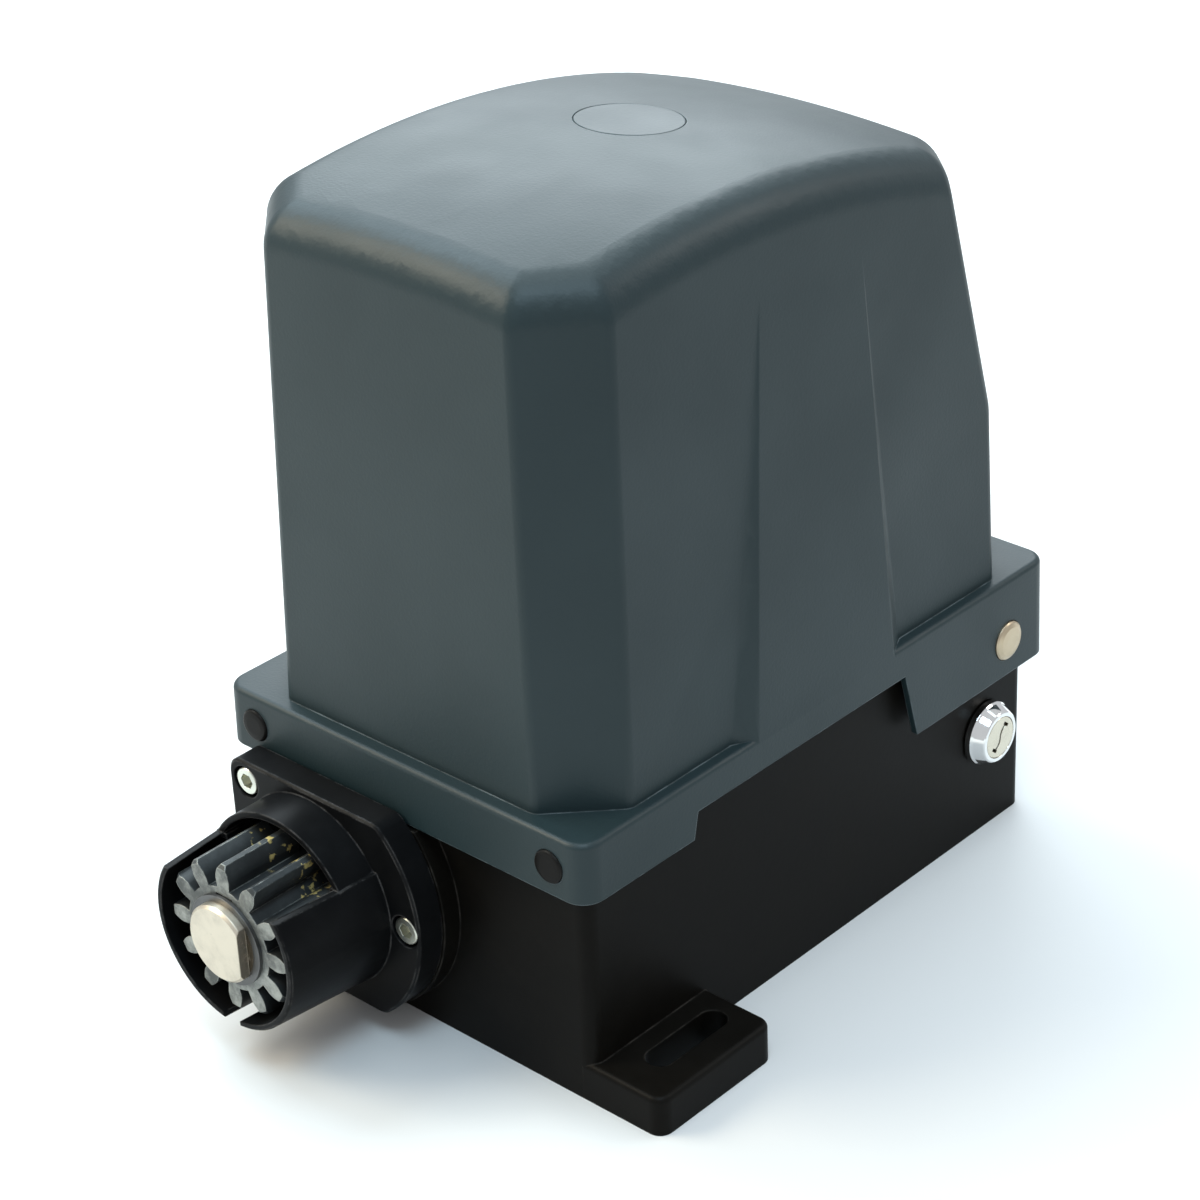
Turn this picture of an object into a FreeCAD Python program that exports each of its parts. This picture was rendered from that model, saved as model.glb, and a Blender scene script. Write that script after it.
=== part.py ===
import FreeCAD, Part
import Sketcher
import math
import os
import re
from FreeCAD import Placement, Rotation, Vector

# Sliding gate motor: a cast base with two slotted feet, a worm gearbox and its upright motor inside,
# the rack pinion and its guard on the front (-Y) face, and a tall moulded cover over the top.
# +Z is up, +X is to the right seen from the pinion side, and the origin is the middle of the base.

doc = FreeCAD.newDocument("sliding_gate_motor")
sheet = doc.addObject("Spreadsheet::Sheet", "Sizes")

SIZES = {
    # base casting
    "housing_width": 154, "housing_length": 234, "housing_height": 96, "housing_wall": 4,
    "housing_floor": 5, "housing_corner": 5, "housing_draft": 0.3,
    "foot_reach": 28.5, "foot_length": 56, "foot_height": 14.5, "foot_corner": 5,
    "slot_width": 10, "slot_length": 36, "slot_inset": 16, "slot_back": 31,
    "anchor_hole": 9, "anchor_span": 90, "anchor_back": 97,
    "cable_hole": 27, "cable_side": 40, "cable_back": 30,
    # output shaft line, along Y
    "axis_inset": 47, "axis_side": "=axis_inset - housing_width/2", "axis_height": 48.5,
    "boss_radius": 49.5, "boss_depth": 7, "boss_top": 79.8, "boss_bottom": 2,
    "seal_bore": 50, "seal_depth": 8, "seal_lip": 44, "lip_depth": 2,
    "front_bearing_od": 55, "bearing_width": 13, "inner_boss": 70, "inner_boss_depth": 12,
    "pinion_reach": 56.5, "pinion_face": "=housing_length/2 + pinion_reach",
    "shaft_proud": 5, "shaft_end": "=pinion_face + shaft_proud", "seat_diameter": 28,
    "seat_reach": 15, "seat_shoulder": "=housing_length/2 + seat_reach", "shaft_diameter": 30,
    "tail_diameter": 25, "tail_shoulder": 16, "tail_end": 2,
    "end_flat_depth": 3.5, "end_flat_length": 5,
    "rear_bearing_od": 47, "rear_bearing_width": 12,
    "running_gap": 0.05, "fit_gap": 0.03, "seat_gap": 0.3, "clip_groove": 0.6, "clip_thickness": 1.4,
    "support_half": 42,
    # pinion and guard
    "pinion_module": 4, "pinion_teeth": 12, "pinion_width": 31,
    "pinion_hub": 38, "key_width": 8, "key_height": 7,
    "flange_left": 38.8, "flange_top": 36.5, "flange_bottom": 39.5, "flange_radius": 48.5,
    "flange_thickness": 10.7, "flange_corner": 6, "flange_hole": 44,
    "collar_radius": 34.2, "collar_length": 15.3, "guard_wall": 2.2, "shroud_rim": 32.4,
    "shroud_proud": 2.5, "shroud_end": "=pinion_face + shroud_proud", "shroud_open": 18, "drip_slot": 8,
    "screw_circle": 42, "guard_screw": 4, "guard_head": 10, "head_depth": 6, "guard_grip": 8,
    # worm gear
    "gear_module": 2, "wheel_teeth": 36, "wheel_width": 15, "wheel_back": 67,
    "worm_pitch": 18, "mesh_backlash": 0.45,
    "hub_diameter": 40, "hub_front": 82, "hub_back": 44, "dog_height": 4, "dog_angle": 52,
    "case_radius": 42.9, "case_wall": 3.4, "case_back": 48, "case_top": 92,
    "worm_bore": 28, "wheel_bearing_od": 52, "wheel_bearing_width": 7,
    # motor, upright over the worm
    "rotor_shaft": 12, "motor_radius": 40, "shield_wall": 3, "shield_flange": 6,
    "stack_bottom": 128, "stack_height": 68, "winding_height": 15, "shield_top": 224,
    "rotor_radius": 23, "air_gap": 0.5, "tie_circle": 45.5, "tie_screw": 5,
    "flange_screw_inset": 8.8,
    "rotor_top": 221, "motor_bearing_od": 28, "motor_bearing_width": 8,
    # manual release
    "lock_inset": 24.3, "lock_back": "=housing_length/2 - lock_inset", "lock_height": 41.2, "lock_bezel": 24, "lock_proud": 7, "lock_barrel": 19,
    "lock_depth": 20, "lock_inside": "=housing_width/2 - lock_depth", "plug_diameter": 16, "cam_radius": 10, "cam_thickness": 3,
    "crank_radius": 4, "crank_pin": 4, "bar_height": 14, "bar_thickness": 3, "bar_inset": 7.5, "bar_side": "=lock_inside - bar_inset",
    "sleeve_diameter": 46, "sleeve_groove": 36, "groove_width": 6, "sleeve_back": 24,
    "fork_thickness": 5, "fork_gap": 0.3, "fork_back": 33, "key_slot": 10.5, "key_slot_lean": 141,
    # cover
    "skirt_overhang": 5.2, "skirt_width": "=housing_width + 2*skirt_overhang",
    "skirt_end_overhang": 5.4, "skirt_length": "=housing_length + 2*skirt_end_overhang",
    "skirt_corner": 8, "skirt_draft": 1.0,
    "ledge_rise": 6.4, "ledge_height": "=housing_height + ledge_rise",
    "hem_front_drop": 15.2, "hem_front": "=housing_height - hem_front_drop",
    "hem_middle_drop": 5.6, "hem_middle": "=housing_height - hem_middle_drop",
    "hem_back_drop": 31.5, "hem_back": "=housing_height - hem_back_drop",
    "hem_step": 71.5, "hem_notch": 38.7, "notch_slant": 6.6,
    "ledge_width": 4.7, "body_width": "=skirt_width - 2*ledge_width",
    "ledge_end_width": 5.8, "body_length": "=skirt_length - 2*ledge_end_width",
    "body_chamfer": 21.5, "body_draft": 1.5,
    "cover_wall": 2.5, "crown_height": 285.3, "roof_radius": 368, "roof_peak": 35.3, "cross_radius": 541,
    "brow_inset": 24.6, "brow_back": "=body_length/2 - brow_inset", "brow_height": 263.5, "kink_height": 172, "kink_soft": 45,
    "top_round": 16, "facet_round": 5, "ledge_round": 2, 
    "kink_inset": 2, "kink_back": "=body_length/2 - kink_inset",
    "panel_middle": -3, "panel_half": 35.5, "panel_half_top": 25, "panel_top": 250, "panel_flank": 9,
    "badge_diameter": 36, "badge_thickness": 1.0, "badge_recess": 1.3,
    "cap_inset": 14.9, "cap_span": "=skirt_width - 2*cap_inset",
    "cap_drop": 5, "cap_height": "=housing_height - cap_drop", "cap_diameter": 11.6, "cap_proud": 1.2, "cap_recess": 3.4,
    "screw_reach": 17,
    "side_screw_inset": 19, "side_screw_back": "=housing_length/2 - side_screw_inset",
    "side_screw_drop": 17.8, "side_screw_height": "=housing_height - side_screw_drop", "side_head": 14.6, "side_proud": 2.2,
    "screw_shank": 6, "notch_width": 7, "nut_size": 10, "nut_thickness": 5,
    # electronics
    "shelf_height": 86, "shelf_half": 66, "shelf_front": 8, "shelf_back": 108, "sheet_gauge": 2,
    "post_diameter": 10, "post_screw": 3.3,
    "board_width": 112, "board_height": 104, "board_bottom": 98, "board_thickness": 1.6,
    "standoff": 6, "upright_top": 214,
}
for row, (alias, size) in enumerate(SIZES.items(), start=1):
    sheet.set("A%d" % row, alias)
    sheet.set("B%d" % row, str(size))
    sheet.setAlias("B%d" % row, alias)
doc.recompute()

WORD = re.compile(r"\b(" + "|".join(sorted(SIZES, key=len, reverse=True)) + r")\b")
parts = []


def linked(formula):
    """A formula of size names, as an expression that reads them from the sheet."""
    return WORD.sub(r"Sizes.\1", str(formula))


def value(formula):
    """The number that such a formula gives now."""
    result = sheet.evalExpression(linked(formula))
    return float(getattr(result, "Value", result))


def bind(obj, prop, formula):
    obj.setExpression(prop, linked(formula))


def finished(obj, label):
    """Labels a sub-part and puts it in the list of pieces that are written out."""
    obj.Label = label
    parts.append(obj)
    return obj


def place(obj, x=0, y=0, z=0):
    """Binds an object's position to the sheet."""
    for axis, formula in zip("xyz", (x, y, z)):
        if formula != 0:
            bind(obj, "Placement.Base." + axis, formula)
    return obj


# ---- sketches -------------------------------------------------------------------------------

def new_body(name):
    return doc.addObject("PartDesign::Body", name)


def new_sketch(body, role, start=0):
    """A sketch on one of the body's origin planes, moved along that plane's normal by start.
    XY looks along +Z, XZ along -Y (its second axis is Z) and YZ along +X."""
    sketch = body.newObject("Sketcher::SketchObject", "sketch")
    plane = next(item for item in body.Origin.OriginFeatures if item.Role == role)
    sketch.AttachmentSupport = [(plane, "")]
    sketch.MapMode = "FlatFace"
    if start != 0:
        bind(sketch, "AttachmentOffset.Base.z", start)
    return sketch


def fix_point(sketch, geometry, point, u, v):
    """Holds a sketch point at two formulas from the sketch's origin."""
    for kind, formula in (("DistanceX", u), ("DistanceY", v)):
        number = value(formula)
        index = sketch.addConstraint(Sketcher.Constraint(kind, -1, 1, geometry, point, number))
        sketch.setExpression("Constraints[%d]" % index, linked(formula))


def circle(sketch, radius, u=0, v=0):
    """A circle by its radius and the place of its centre."""
    centre = Vector(value(u), value(v), 0)
    index = sketch.addGeometry(Part.Circle(centre, Vector(0, 0, 1), value(radius)), False)
    held = sketch.addConstraint(Sketcher.Constraint("Radius", index, value(radius)))
    sketch.setExpression("Constraints[%d]" % held, linked(radius))
    fix_point(sketch, index, 3, u, v)


def arc_between(start, end, radius):
    """The short arc from start to end: a positive radius turns left, a negative one right."""
    chord = end - start
    half = chord.Length / 2
    height = math.sqrt(max(radius * radius - half * half, 0))
    left = Vector(-chord.y, chord.x, 0).normalize()
    side = 1 if radius > 0 else -1
    centre = (start + end) * 0.5 + left * (side * height)
    first, last = (start, end) if radius > 0 else (end, start)
    angles = [math.atan2(p.y - centre.y, p.x - centre.x) for p in (first, last)]
    whole = Part.Circle(centre, Vector(0, 0, 1), abs(radius))
    return Part.ArcOfCircle(whole, angles[0], angles[1])


def outline(sketch, corners):
    """A closed outline. Each corner is (u, v) or (u, v, radius), where the radius makes the side that
    leaves that corner an arc, which turns left if the radius is positive and right if negative."""
    spots = [Vector(value(c[0]), value(c[1]), 0) for c in corners]
    indices = []
    for number, corner in enumerate(corners):
        start = spots[number]
        end = spots[(number + 1) % len(spots)]
        if len(corner) == 2:
            indices.append(sketch.addGeometry(Part.LineSegment(start, end), False))
        else:
            indices.append(sketch.addGeometry(arc_between(start, end, value(corner[2])), False))
    ends = []
    for number, corner in enumerate(corners):
        backwards = len(corner) == 3 and value(corner[2]) < 0
        ends.append((2, 1) if backwards else (1, 2))
    for number, corner in enumerate(corners):
        following = (number + 1) % len(corners)
        sketch.addConstraint(Sketcher.Constraint(
            "Coincident", indices[number], ends[number][1], indices[following], ends[following][0]))
        fix_point(sketch, indices[number], ends[number][0], corner[0], corner[1])
        if len(corner) == 3:
            size = "abs(%s)" % corner[2]
            held = sketch.addConstraint(Sketcher.Constraint("Radius", indices[number], value(size)))
            sketch.setExpression("Constraints[%d]" % held, linked(size))


def rectangle(sketch, left, right, bottom, top):
    outline(sketch, [(left, bottom), (right, bottom), (right, top), (left, top)])


def slot(sketch, u, v, length, width):
    """A round-ended slot that runs along the sketch's second axis."""
    low = "%s - (%s - %s)/2" % (v, length, width)
    high = "%s + (%s - %s)/2" % (v, length, width)
    radius = "(%s)/2" % width
    right = "%s + %s" % (u, radius)
    left = "%s - %s" % (u, radius)
    middle_low = "%s - (%s)/2" % (v, length)
    middle_high = "%s + (%s)/2" % (v, length)
    outline(sketch, [(right, low), (right, high, radius), (u, middle_high, radius),
                     (left, high), (left, low, radius), (u, middle_low, radius)])


# ---- features -------------------------------------------------------------------------------

def pad(body, role, start, length, draw, taper=None):
    """Adds what draw puts in a sketch at start, over length along the plane's normal."""
    sketch = new_sketch(body, role, start)
    draw(sketch)
    feature = body.newObject("PartDesign::Pad", "pad")
    feature.Profile = sketch
    bind(feature, "Length", length)
    if taper is not None:
        bind(feature, "TaperAngle", taper)
    doc.recompute()
    return feature


def pocket(body, role, start, length, draw):
    """Cuts what draw puts in a sketch at start, over length along the plane's normal."""
    before = body.Shape.Volume
    sketch = new_sketch(body, role, start)
    draw(sketch)
    feature = body.newObject("PartDesign::Pocket", "pocket")
    feature.Profile = sketch
    feature.Reversed = True
    bind(feature, "Length", length)
    doc.recompute()
    if body.Shape.Volume > before - 1e-6:
        raise RuntimeError("a pocket of %s cuts nothing" % body.Name)
    return feature


def revolve(body, corners):
    """A solid of revolution about the body's Z axis, from (radius, height) corners."""
    sketch = new_sketch(body, "XZ_Plane")
    outline(sketch, corners)
    feature = body.newObject("PartDesign::Revolution", "revolution")
    feature.Profile = sketch
    feature.ReferenceAxis = (sketch, ["V_Axis"])
    feature.Angle = 360
    doc.recompute()
    return feature


def dress(body, kind, size_name, size, test):
    """A Fillet or Chamfer on each edge of the body's tip that passes the test."""
    base = body.Tip
    names = ["Edge%d" % (n + 1) for n, edge in enumerate(base.Shape.Edges) if test(edge)]
    if not names:
        raise RuntimeError("no edge to dress on %s" % body.Name)
    feature = body.newObject("PartDesign::" + kind, kind.lower())
    feature.Base = (base, names)
    bind(feature, size_name, size)
    doc.recompute()
    return feature


def fillet(body, radius, test):
    return dress(body, "Fillet", "Radius", radius, test)


def chamfer(body, size, test):
    return dress(body, "Chamfer", "Size", size, test)


def repeat_round(body, feature, role, count):
    """Repeats a feature evenly round one of the body's origin axes."""
    pattern = body.newObject("PartDesign::PolarPattern", "pattern")
    pattern.Originals = [feature]
    axis = next(item for item in body.Origin.OriginFeatures if item.Role == role)
    pattern.Axis = (axis, [""])
    pattern.Angle = 360
    bind(pattern, "Occurrences", count)
    body.Tip = pattern
    doc.recompute()
    return pattern


def middle(edge):
    return edge.valueAt((edge.FirstParameter + edge.LastParameter) / 2)


def is_upright(edge):
    box = edge.BoundBox
    return box.ZLength > 3 * max(box.XLength, box.YLength)


def joined(name, kind, base, tool):
    """A Part cut, fuse or common of two objects."""
    result = doc.addObject("Part::" + kind, name)
    result.Base = base
    result.Tool = tool
    doc.recompute()
    return result


def group(name, label, members):
    """Like pieces that share one node, as separate solids."""
    result = doc.addObject("Part::Compound", name)
    result.Links = members
    doc.recompute()
    return finished(result, label)


def turned_along_y(obj, x, y, z):
    """Lays a piece that was revolved about Z along Y, its top towards the pinion side (-Y)."""
    obj.Placement = Placement(Vector(0, 0, 0), Rotation(Vector(1, 0, 0), 90))
    return place(obj, x, y, z)


def turned_along_x(obj, x, y, z):
    """Lays a piece that was revolved about Z along X, its top towards +X."""
    obj.Placement = Placement(Vector(0, 0, 0), Rotation(Vector(0, 1, 0), 90))
    return place(obj, x, y, z)


# ---- places that several pieces share ---------------------------------------------------------

WORM_X = "axis_side + gear_module*wheel_teeth/2 + worm_pitch/2"
HALF_X = "housing_width/2"
HALF_Y = "housing_length/2"
INNER_Y = HALF_Y + " - housing_wall"
FLANGE_BACK = HALF_Y + " + boss_depth"
FLANGE_FRONT = FLANGE_BACK + " + flange_thickness"
COLLAR_FRONT = FLANGE_FRONT + " + collar_length"
TIE_OFFSET = "(tie_circle*sqrt(0.5) - flange_screw_inset)"
POST_FRONT = "(shelf_front + 7)"
POST_BACK = "(shelf_back - 34)"
POST_SIDE = "(shelf_half - 7)"
POSTS = ((POST_SIDE, POST_FRONT), ("-" + POST_SIDE, POST_FRONT),
         (POST_SIDE, POST_BACK), ("-" + POST_SIDE, POST_BACK))
STACK_TOP = "stack_bottom + stack_height"
GUARD_ANGLES = (0, 137, 223)


def along_shaft(body):
    """Puts a piece modelled about +Z on the output shaft line; its heights are then -Y."""
    return turned_along_y(body, "axis_side", 0, "axis_height")


def over_worm(body):
    """Puts a piece modelled about +Z on the upright motor line."""
    return place(body, WORM_X, "-wheel_back")


def tube(name, inner, outer, low, high, edge=0.4):
    """A ring with slightly broken outer edges, about +Z."""
    body = new_body(name)
    revolve(body, [
        (inner, low), ("%s - %s" % (outer, edge), low), (outer, "%s + %s" % (low, edge)),
        (outer, "%s - %s" % (high, edge)), ("%s - %s" % (outer, edge), high), (inner, high),
    ])
    return body


def bearing(name, inner, outer, low, high):
    """A shielded ball bearing: two rings with the shields set back between them."""
    body = new_body(name)
    ring = "(%s - (%s))/4" % (outer, inner)
    sunk = "0.6"
    revolve(body, [
        (inner, low), ("%s + %s" % (inner, ring), low), ("%s + %s" % (inner, ring), low + " + " + sunk),
        ("%s - %s" % (outer, ring), low + " + " + sunk), ("%s - %s" % (outer, ring), low), (outer, low),
        (outer, high), ("%s - %s" % (outer, ring), high), ("%s - %s" % (outer, ring), high + " - " + sunk),
        ("%s + %s" % (inner, ring), high + " - " + sunk), ("%s + %s" % (inner, ring), high), (inner, high),
    ])
    return body


def hexagon(across, u="0", v="0"):
    """Draws a hexagon by its width across flats."""
    def draw(sketch):
        corners = []
        for step in range(6):
            turn = math.radians(60 * step)
            corners.append(("%s + (%s)*%.6f" % (u, across, math.cos(turn) / math.sqrt(3)),
                            "%s + (%s)*%.6f" % (v, across, math.sin(turn) / math.sqrt(3))))
        outline(sketch, corners)
    return draw


def socket_screw(name, shank, head, head_height, length):
    """A socket cap screw about +Z: the underside of its head is at height 0, and it points down."""
    body = new_body(name)
    revolve(body, [
        (0, "-(%s)" % length), ("%s - 0.5" % shank, "-(%s)" % length), (shank, "-(%s) + 0.5" % length),
        (shank, 0), (head, 0), (head, "%s - 0.4" % head_height), ("%s - 0.4" % head, head_height), (0, head_height),
    ])
    pocket(body, "XY_Plane", "(%s)*0.45" % head_height, head_height, hexagon(head))
    return body


def pan_screw(name, shank, head, head_height, length):
    """A domed screw with a cross recess, about +Z, pointing down from height 0."""
    body = new_body(name)
    revolve(body, [
        (0, "-(%s)" % length), (shank, "-(%s)" % length), (shank, 0), (head, 0),
        (head, "(%s)*0.4" % head_height), ("(%s)*0.6" % head, head_height), (0, head_height),
    ])
    arm = "(%s)*0.55" % head
    for long_side, short_side in ((arm, "0.35"), ("0.35", arm)):
        pocket(body, "XY_Plane", "(%s)*0.5" % head_height, head_height,
               lambda s: rectangle(s, "-(%s)" % long_side, long_side, "-(%s)" % short_side, short_side))
    return body


# ---- base casting ---------------------------------------------------------------------------

def boss_outline(sketch):
    """The round front boss, trimmed flat at its top, bottom and left side."""
    def reach(offset):
        return "sqrt(boss_radius^2 - (%s)^2)" % offset
    top = "boss_top - axis_height"
    low = "axis_height - boss_bottom"
    side = "housing_width/2 + axis_side"
    outline(sketch, [
        ("axis_side + " + reach(low), "boss_bottom", "boss_radius"),
        ("axis_side + boss_radius", "axis_height", "boss_radius"),
        ("axis_side + " + reach(top), "boss_top"),
        ("axis_side - " + reach(top), "boss_top", "boss_radius"),
        ("axis_side - (%s)" % side, "axis_height + " + reach(side)),
        ("axis_side - (%s)" % side, "axis_height - " + reach(side), "boss_radius"),
        ("axis_side - " + reach(low), "boss_bottom"),
    ])


def make_base_housing():
    body = new_body("base_housing")

    def block(sketch):
        rectangle(sketch, "-" + HALF_X, HALF_X, "-" + HALF_Y, HALF_Y)
    pad(body, "XY_Plane", 0, "housing_height", block, "-housing_draft")
    fillet(body, "housing_corner", lambda e: is_upright(e) and abs(middle(e).x) > 60)

    for side in (1, -1):
        inner = "%d*(%s - foot_corner)" % (side, HALF_X)
        outer = "%d*(%s + foot_reach)" % (side, HALF_X)

        def foot(sketch):
            rectangle(sketch, inner, outer, "-" + HALF_Y, "-%s + foot_length" % HALF_Y)
        pad(body, "XY_Plane", 0, "foot_height", foot)
    reach = value("housing_width/2 + foot_reach")
    fillet(body, "foot_corner", lambda e: is_upright(e) and abs(abs(middle(e).x) - reach) < 0.01)
    top = value("foot_height")
    edge_limit = value("housing_width/2") + 1
    fillet(body, 2, lambda e: abs(e.BoundBox.ZMin - top) < 0.01 and e.BoundBox.ZLength < 0.01
           and abs(middle(e).x) > edge_limit)
    for side in (1, -1):
        place_x = "%d*(%s + foot_reach - slot_inset)" % (side, HALF_X)

        def foot_slot(sketch):
            slot(sketch, place_x, "-%s + slot_back" % HALF_Y, "slot_length", "slot_width")
        pocket(body, "XY_Plane", 0, "foot_height + 1", foot_slot)

    pad(body, "XZ_Plane", HALF_Y + " - housing_wall/2", "boss_depth + housing_wall/2", boss_outline)

    def cavity(sketch):
        rectangle(sketch, "-%s + housing_wall" % HALF_X, "%s - housing_wall" % HALF_X,
                  "-(%s)" % INNER_Y, INNER_Y)
    pocket(body, "XY_Plane", "housing_floor", "housing_height", cavity)

    def on_axis(diameter):
        return lambda sketch: circle(sketch, diameter + "/2", "axis_side", "axis_height")
    pad(body, "XZ_Plane", INNER_Y + " - inner_boss_depth", "inner_boss_depth + 0.5", on_axis("inner_boss"))
    pocket(body, "XZ_Plane", FLANGE_BACK + " - seal_depth", "seal_depth + 1", on_axis("seal_bore"))
    pocket(body, "XZ_Plane", FLANGE_BACK + " - seal_depth - lip_depth", "lip_depth + 1", on_axis("seal_lip"))
    pocket(body, "XZ_Plane", INNER_Y + " - inner_boss_depth - 1",
           "inner_boss_depth + 1 + housing_wall + boss_depth - seal_depth - lip_depth",
           on_axis("front_bearing_od"))

    for angle in GUARD_ANGLES:
        pocket(body, "XZ_Plane", FLANGE_BACK + " - guard_grip", "guard_grip + 1", lambda s: circle(
            s, "guard_screw/2 + fit_gap", "axis_side + screw_circle*%.6f" % math.cos(math.radians(angle)),
            "axis_height + screw_circle*%.6f" % math.sin(math.radians(angle))))

    def floor_holes(sketch):
        circle(sketch, "anchor_hole/2", "anchor_span/2", "anchor_back")
        circle(sketch, "anchor_hole/2", "-anchor_span/2", "anchor_back")
        circle(sketch, "cable_hole/2", "cable_side", "cable_back")
    pocket(body, "XY_Plane", -1, "housing_floor + 2", floor_holes)

    def lock_hole(sketch):
        circle(sketch, "lock_barrel/2 + fit_gap", "lock_back", "lock_height")
    pocket(body, "YZ_Plane", HALF_X + " - housing_wall - 2", "housing_wall + 4", lock_hole)

    def front_notch(sign):
        def draw(sketch):
            centre = "%d*cap_span/2" % sign
            outline(sketch, [
                (centre + " + notch_width/2", "cap_height"),
                (centre + " + notch_width/2", "housing_height + 5"),
                (centre + " - notch_width/2", "housing_height + 5"),
                (centre + " - notch_width/2", "cap_height", "notch_width/2"),
                (centre, "cap_height - notch_width/2", "notch_width/2"),
            ])
        return draw
    for sign in (1, -1):
        pocket(body, "XZ_Plane", HALF_Y + " - housing_wall - 2", "housing_wall + 4", front_notch(sign))

    def side_notch(sketch):
        outline(sketch, [
            ("side_screw_back + notch_width/2", "side_screw_height"),
            ("side_screw_back + notch_width/2", "housing_height + 5"),
            ("side_screw_back - notch_width/2", "housing_height + 5"),
            ("side_screw_back - notch_width/2", "side_screw_height", "notch_width/2"),
            ("side_screw_back", "side_screw_height - notch_width/2", "notch_width/2"),
        ])
    pocket(body, "YZ_Plane", HALF_X + " - housing_wall - 2", "housing_wall + 4", side_notch)
    pocket(body, "YZ_Plane", "-%s - 2" % HALF_X, "housing_wall + 4", side_notch)

    for x, y in POSTS:
        pad(body, "XY_Plane", "housing_floor - 1", "shelf_height - housing_floor + 1",
            lambda s: circle(s, "post_diameter/2", x, y))
        pocket(body, "XY_Plane", "shelf_height - 12", 14, lambda s: circle(s, "post_screw/2", x, y))
    return finished(body, "base_housing")


make_base_housing()


# ---- gearbox case ---------------------------------------------------------------------------

def make_gear_case():
    """Cast case bolted inside the base: a drum round the wheel and an upright barrel round the worm."""
    body = new_body("gear_case")
    inner = "case_radius - case_wall"

    def drum(radius):
        return lambda sketch: circle(sketch, radius, "axis_side", "axis_height")
    pad(body, "XZ_Plane", "case_back", INNER_Y + " - case_back", drum("case_radius"))

    def barrel(sketch):
        rectangle(sketch, "axis_side", WORM_X + " + worm_bore/2 + case_wall",
                  "-wheel_back - worm_bore/2 - case_wall", "-wheel_back + worm_bore/2 + case_wall")
    pad(body, "XY_Plane", "housing_floor", "case_top - housing_floor", barrel)

    def deck(sketch):
        rectangle(sketch, WORM_X + " - motor_radius + 6", WORM_X + " + motor_radius - 6",
                  "-wheel_back - motor_radius + 6", "-wheel_back + motor_radius - 6")
    pad(body, "XY_Plane", "case_top - 7", 7, deck)
    under = value("case_top") - 7
    reach = value("motor_radius") - 6
    back = value("wheel_back")
    fillet(body, 6, lambda e: is_upright(e) and abs(e.BoundBox.ZMin - under) < 0.01
           and abs(abs(middle(e).y + back) - reach) < 0.1)

    pocket(body, "XZ_Plane", "case_back + case_wall + 2", INNER_Y + " - case_back - case_wall - 1", drum(inner))
    pocket(body, "XY_Plane", "housing_floor + 5", "case_top",
           lambda s: circle(s, "worm_bore/2 + fit_gap", WORM_X, "-wheel_back"))
    pocket(body, "XZ_Plane", "case_back - 1", "case_wall + 5", drum("wheel_bearing_od/2"))

    for dx in (1, -1):
        for dy in (1, -1):
            pocket(body, "XY_Plane", "case_top - 12", 14, lambda s: circle(
                s, 2.1, "%s + %d*(%s)" % (WORM_X, dx, TIE_OFFSET), "-wheel_back + %d*(%s)" % (dy, TIE_OFFSET)))
    return finished(body, "gear_case")


make_gear_case()


# ---- output shaft, pinion and guard -------------------------------------------------------------

def make_output_shaft():
    body = new_body("output_shaft")
    radius = "shaft_diameter/2"
    seat = "seat_diameter/2"
    clip = "pinion_face"
    revolve(body, [
        (0, "tail_end"), ("tail_diameter/2 - 1", "tail_end"), ("tail_diameter/2", "tail_end + 1"),
        ("tail_diameter/2", "tail_shoulder"), (radius, "tail_shoulder"), (radius, "seat_shoulder"),
        (seat, "seat_shoulder"), (seat, clip), (seat + " - clip_groove", clip),
        (seat + " - clip_groove", clip + " + clip_thickness"), (seat, clip + " + clip_thickness"),
        (seat, "shaft_end - 1"), (seat + " - 1", "shaft_end"), (0, "shaft_end"),
    ])

    def end_flat(offset):
        return lambda s: rectangle(s, offset, seat + " + 1", "-seat_diameter/2", "seat_diameter/2")
    pocket(body, "XY_Plane", "shaft_end - end_flat_length + clip_thickness", "end_flat_length",
           end_flat(seat + " - end_flat_depth"))

    def keyway(shaft_radius):
        return lambda s: rectangle(s, "-key_width/2", "key_width/2",
                                   shaft_radius + " - key_height/2", shaft_radius + " + 1")
    pocket(body, "XY_Plane", "seat_shoulder + 12", "pinion_face - seat_shoulder - 16", keyway(seat))
    pocket(body, "XY_Plane", "sleeve_back - 2", "hub_back - sleeve_back - 2", keyway(radius))
    return finished(along_shaft(body), "output_shaft")


def make_shaft_keys():
    keys = []
    spans = (("seat_diameter/2", "seat_shoulder + 12", "pinion_face - seat_shoulder - 16"),
             ("shaft_diameter/2", "sleeve_back - 2", "hub_back - sleeve_back - 2"))
    for radius, low, length in spans:
        body = new_body("key")
        pad(body, "XY_Plane", low, length, lambda s: rectangle(
            s, "-key_width/2", "key_width/2", radius + " - key_height/2", radius + " + key_height/2 - 1"))
        keys.append(along_shaft(body))
    return group("shaft_keys", "shaft_keys", keys)


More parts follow.
